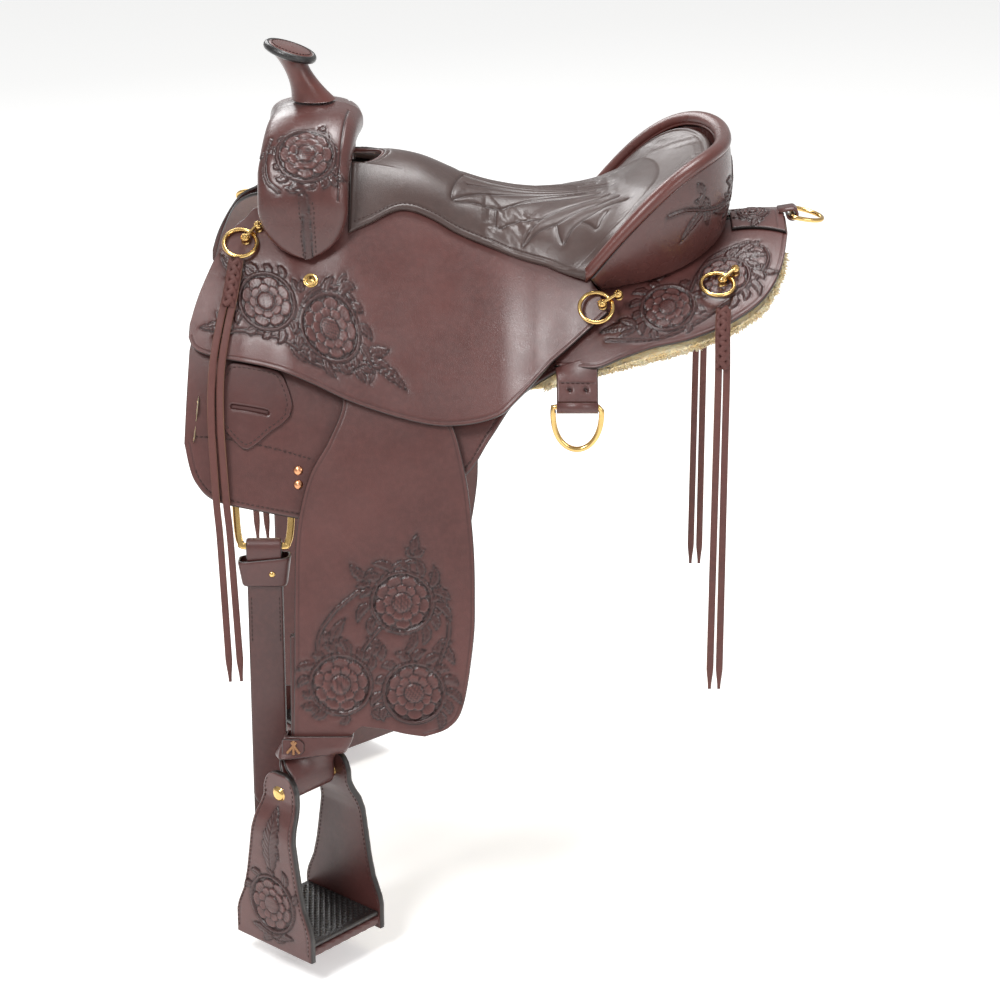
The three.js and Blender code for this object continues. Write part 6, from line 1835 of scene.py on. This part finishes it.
def make_crupper():
    front, rear = CANTLE_X + 170, REAR_X - 2
    lift = REAR_JOCKEY_LIFT + LEATHER + 0.4
    u, v = np.meshgrid(np.linspace(0, 1, 60), np.linspace(-1, 1, 110), indexing="ij")
    edge = lerp(30, 42, u) + 5 * (2 * u - 1) ** 2
    p = on_back(lerp(front, rear, u), np.abs(v) * edge, lift)
    p[..., 1] = -np.sign(v) * p[..., 1]
    a, b = lerp(front, rear, u), v * edge
    carve = Tooling(a, b)
    for side in (-1, 1):
        carve.sprig((front + 30, side * 12), 90 * side, 26, 0.5 * side, 5.5, 3, 0.7)
        carve.sprig((front + 12, side * 10), 130 * side, 18, 0.4, 4.5, 2, 0.6)
    carve.flower((front + 26, 0), 17, 7, 0.2)
    seam = np.stack([np.full(40, rear - 9), np.linspace(-38, 38, 40)], 1)
    carve.groove(seam, 0.8, 0.35, 0.4, 60)
    rise, marks = carve.finish()
    points, quads, marks = sheet(p, LEATHER, rise, marks, out=(0, 0, 1))
    single("crupper_strap", points, quads, BROWN, "saddle", marks, nodes=["crupper_strap"])
    crown = float(profile(REAR_X, 0.0)[1]) + lift
    bar = np.array([REAR_X + 8, 0, crown + 1])
    angle = np.linspace(0.5 * np.pi, -1.0 * np.pi, 30)
    loop = [(-16, 3.0)] + [(6 * math.cos(t), 6 * math.sin(t)) for t in angle] + [(-6, 0.0)]
    line = smoothed(np.array(loop), 1)
    rings = []
    for k, (x0, z0) in enumerate(line):
        out = unit(np.array([x0, 0, z0]) + [6 if k == 0 else 0, 0, 0]) if k else np.array([0, 0, 1.0])
        at = bar + [x0, 0, z0]
        rings.append([at - 1.3 * out + [0, -12, 0], at + 1.3 * out + [0, -12, 0],
                      at + 1.3 * out + [0, 12, 0], at - 1.3 * out + [0, 12, 0]])
    points, quads, tris = loft(rings)
    single("crupper_loop", points, quads, STRAP, "saddle", tris=tris)
    path = dee_path(bar, (0, 1, 0), (math.cos(0.2), 0, -math.sin(0.2)), 45, 36)
    points, quads, tris = closed_bar(path, np.array([math.sin(0.2), 0, math.cos(0.2)]), 2.6, 2.6, 18)
    single("crupper_ring", points, quads, BRASS, "crupper_ring", tris=tris, nodes=["crupper_ring"])


# ---- Saddle strings -------------------------------------------------------------------------------
FRONT_ROUTE = [
    [-296, 127, 23], [-301, 165, 23], [-308, 200, 22.5], [-314, 235, 22], [-317, 270, 18], [-317, 310, 16],
    [-315, 350, 14], [-312, 398, 12],
]
REAR_ROUTE = [[CANTLE_X + 154, 160, 15], [CANTLE_X + 153, 174, 15], [CANTLE_X + 152, 192, 14.5]]
STRING_WIDTH, STRING_THICKNESS = 8.0, 3.5


def make_string(name, route, tips, opening, braid):
    resting = [on_back(np.array([x], float), np.array([s], float), lift)[0] for x, s, lift in route]
    curve = spline(np.array(resting + [np.array(t, float) for t in tips]), 240)
    ahead = unit(np.gradient(curve, axis=0))
    face = unit(np.array([1.0, 0, 0]) - ahead * ahead[:, :1])
    up = np.cross(face, ahead)
    share = np.linspace(0, 1, len(curve))
    for turn, mirror in (("near", 1), ("off", -1)):
        for tail, side in (("a", -1), ("b", 1)):
            path = curve + face * (side * (STRING_WIDTH / 2 + 0.4 + opening * share))[:, None]
            width = STRING_WIDTH / 2 * (1 - 0.55 * smooth((share - 0.94) / 0.06))
            angle, c, s = section(16, 0.5)
            twist = 0.16 * np.sin(share * 9 + side) * smooth(share * 3)
            across = np.cos(twist)[:, None] * face + np.sin(twist)[:, None] * up
            over = np.cos(twist)[:, None] * up - np.sin(twist)[:, None] * face
            rings = path[:, None] + (width[:, None] * c)[..., None] * across[:, None] \
                + (STRING_THICKNESS / 2 * s)[None, :, None] * over[:, None]
            points, quads, tris = loft(rings)
            marks = np.zeros((len(points), 3))
            marks[:len(path) * 16, 1] = np.tile(0.75 * (np.abs(np.cos(angle)) > 0.9), len(path))
            at = np.array([1, mirror, 1])
            quads, tris = outwards(points * at, quads, tris)
            node = f"{name}_string_{tail}_{turn}"
            obj = build(f"{node}_visual", points * at, quads, FLESH, f"{name}_strings_{turn}", marks, tris)
            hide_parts(node)
    up = up * np.where(up[:, 1:2] > 0, -1, 1)
    first, last = (int(len(curve) * b) for b in braid)
    knots = []
    for strand in range(3):
        k = np.arange(first, last)
        phase = 2 * np.pi * (k - first) / 17 + 2 * np.pi * strand / 3
        sideways = face[k] * (5.0 * np.sin(phase))[:, None]
        path = curve[k] + sideways + up[k] * (3.2 + 2.2 * np.cos(2 * phase))[:, None]
        knots.append(tube(path, 3.3, 10, up=(0.2, -1, 0.3), flat=0.6))
    points, quads, tris = merge(*knots)
    pair(f"{name}_string_braid", points, quads, FLESH, f"{name}_strings", tris=tris)


def make_strings():
    front_tips = [(-309, -217, -268), (-306, -218, -340), (-302, -218, -447)]
    make_string("front", FRONT_ROUTE, front_tips, 2, (0.0, 0.12))
    rear_tips = [(247, -192, -90), (247, -192, -200), (247, -192, -330), (247, -192, -468)]
    make_string("rear", REAR_ROUTE, rear_tips, 1, (0.0, 0.16))


def finish_tree():
    """The tree's parts stay as the frame has them: rawhide, and leather where the board shows at the seat."""
    for name in ("tree_fork", "tree_bar_near", "tree_bar_off", "cantle_board", "ground_seat"):
        bpy.data.objects[name].data.materials.clear()
        bpy.data.objects[name].data.materials.append(SWELL if name == "cantle_board" else RAWHIDE)


make_camera()
make_strings()
make_stage()
make_skirts()
make_fleece()
make_jockeys()
make_rear_jockeys()
make_swell()
make_horn()
make_seat()
make_cantle()
make_rigging()
make_latigo("latigo_near", "latigo", LATIGO_DROP - 40, 1)
make_latigo("billet_off", "billet", 150.0, -1)
make_keepers()
make_fenders()
make_leathers()
make_hobbles()
make_stirrups()
make_fittings()
make_crupper()
finish_tree()
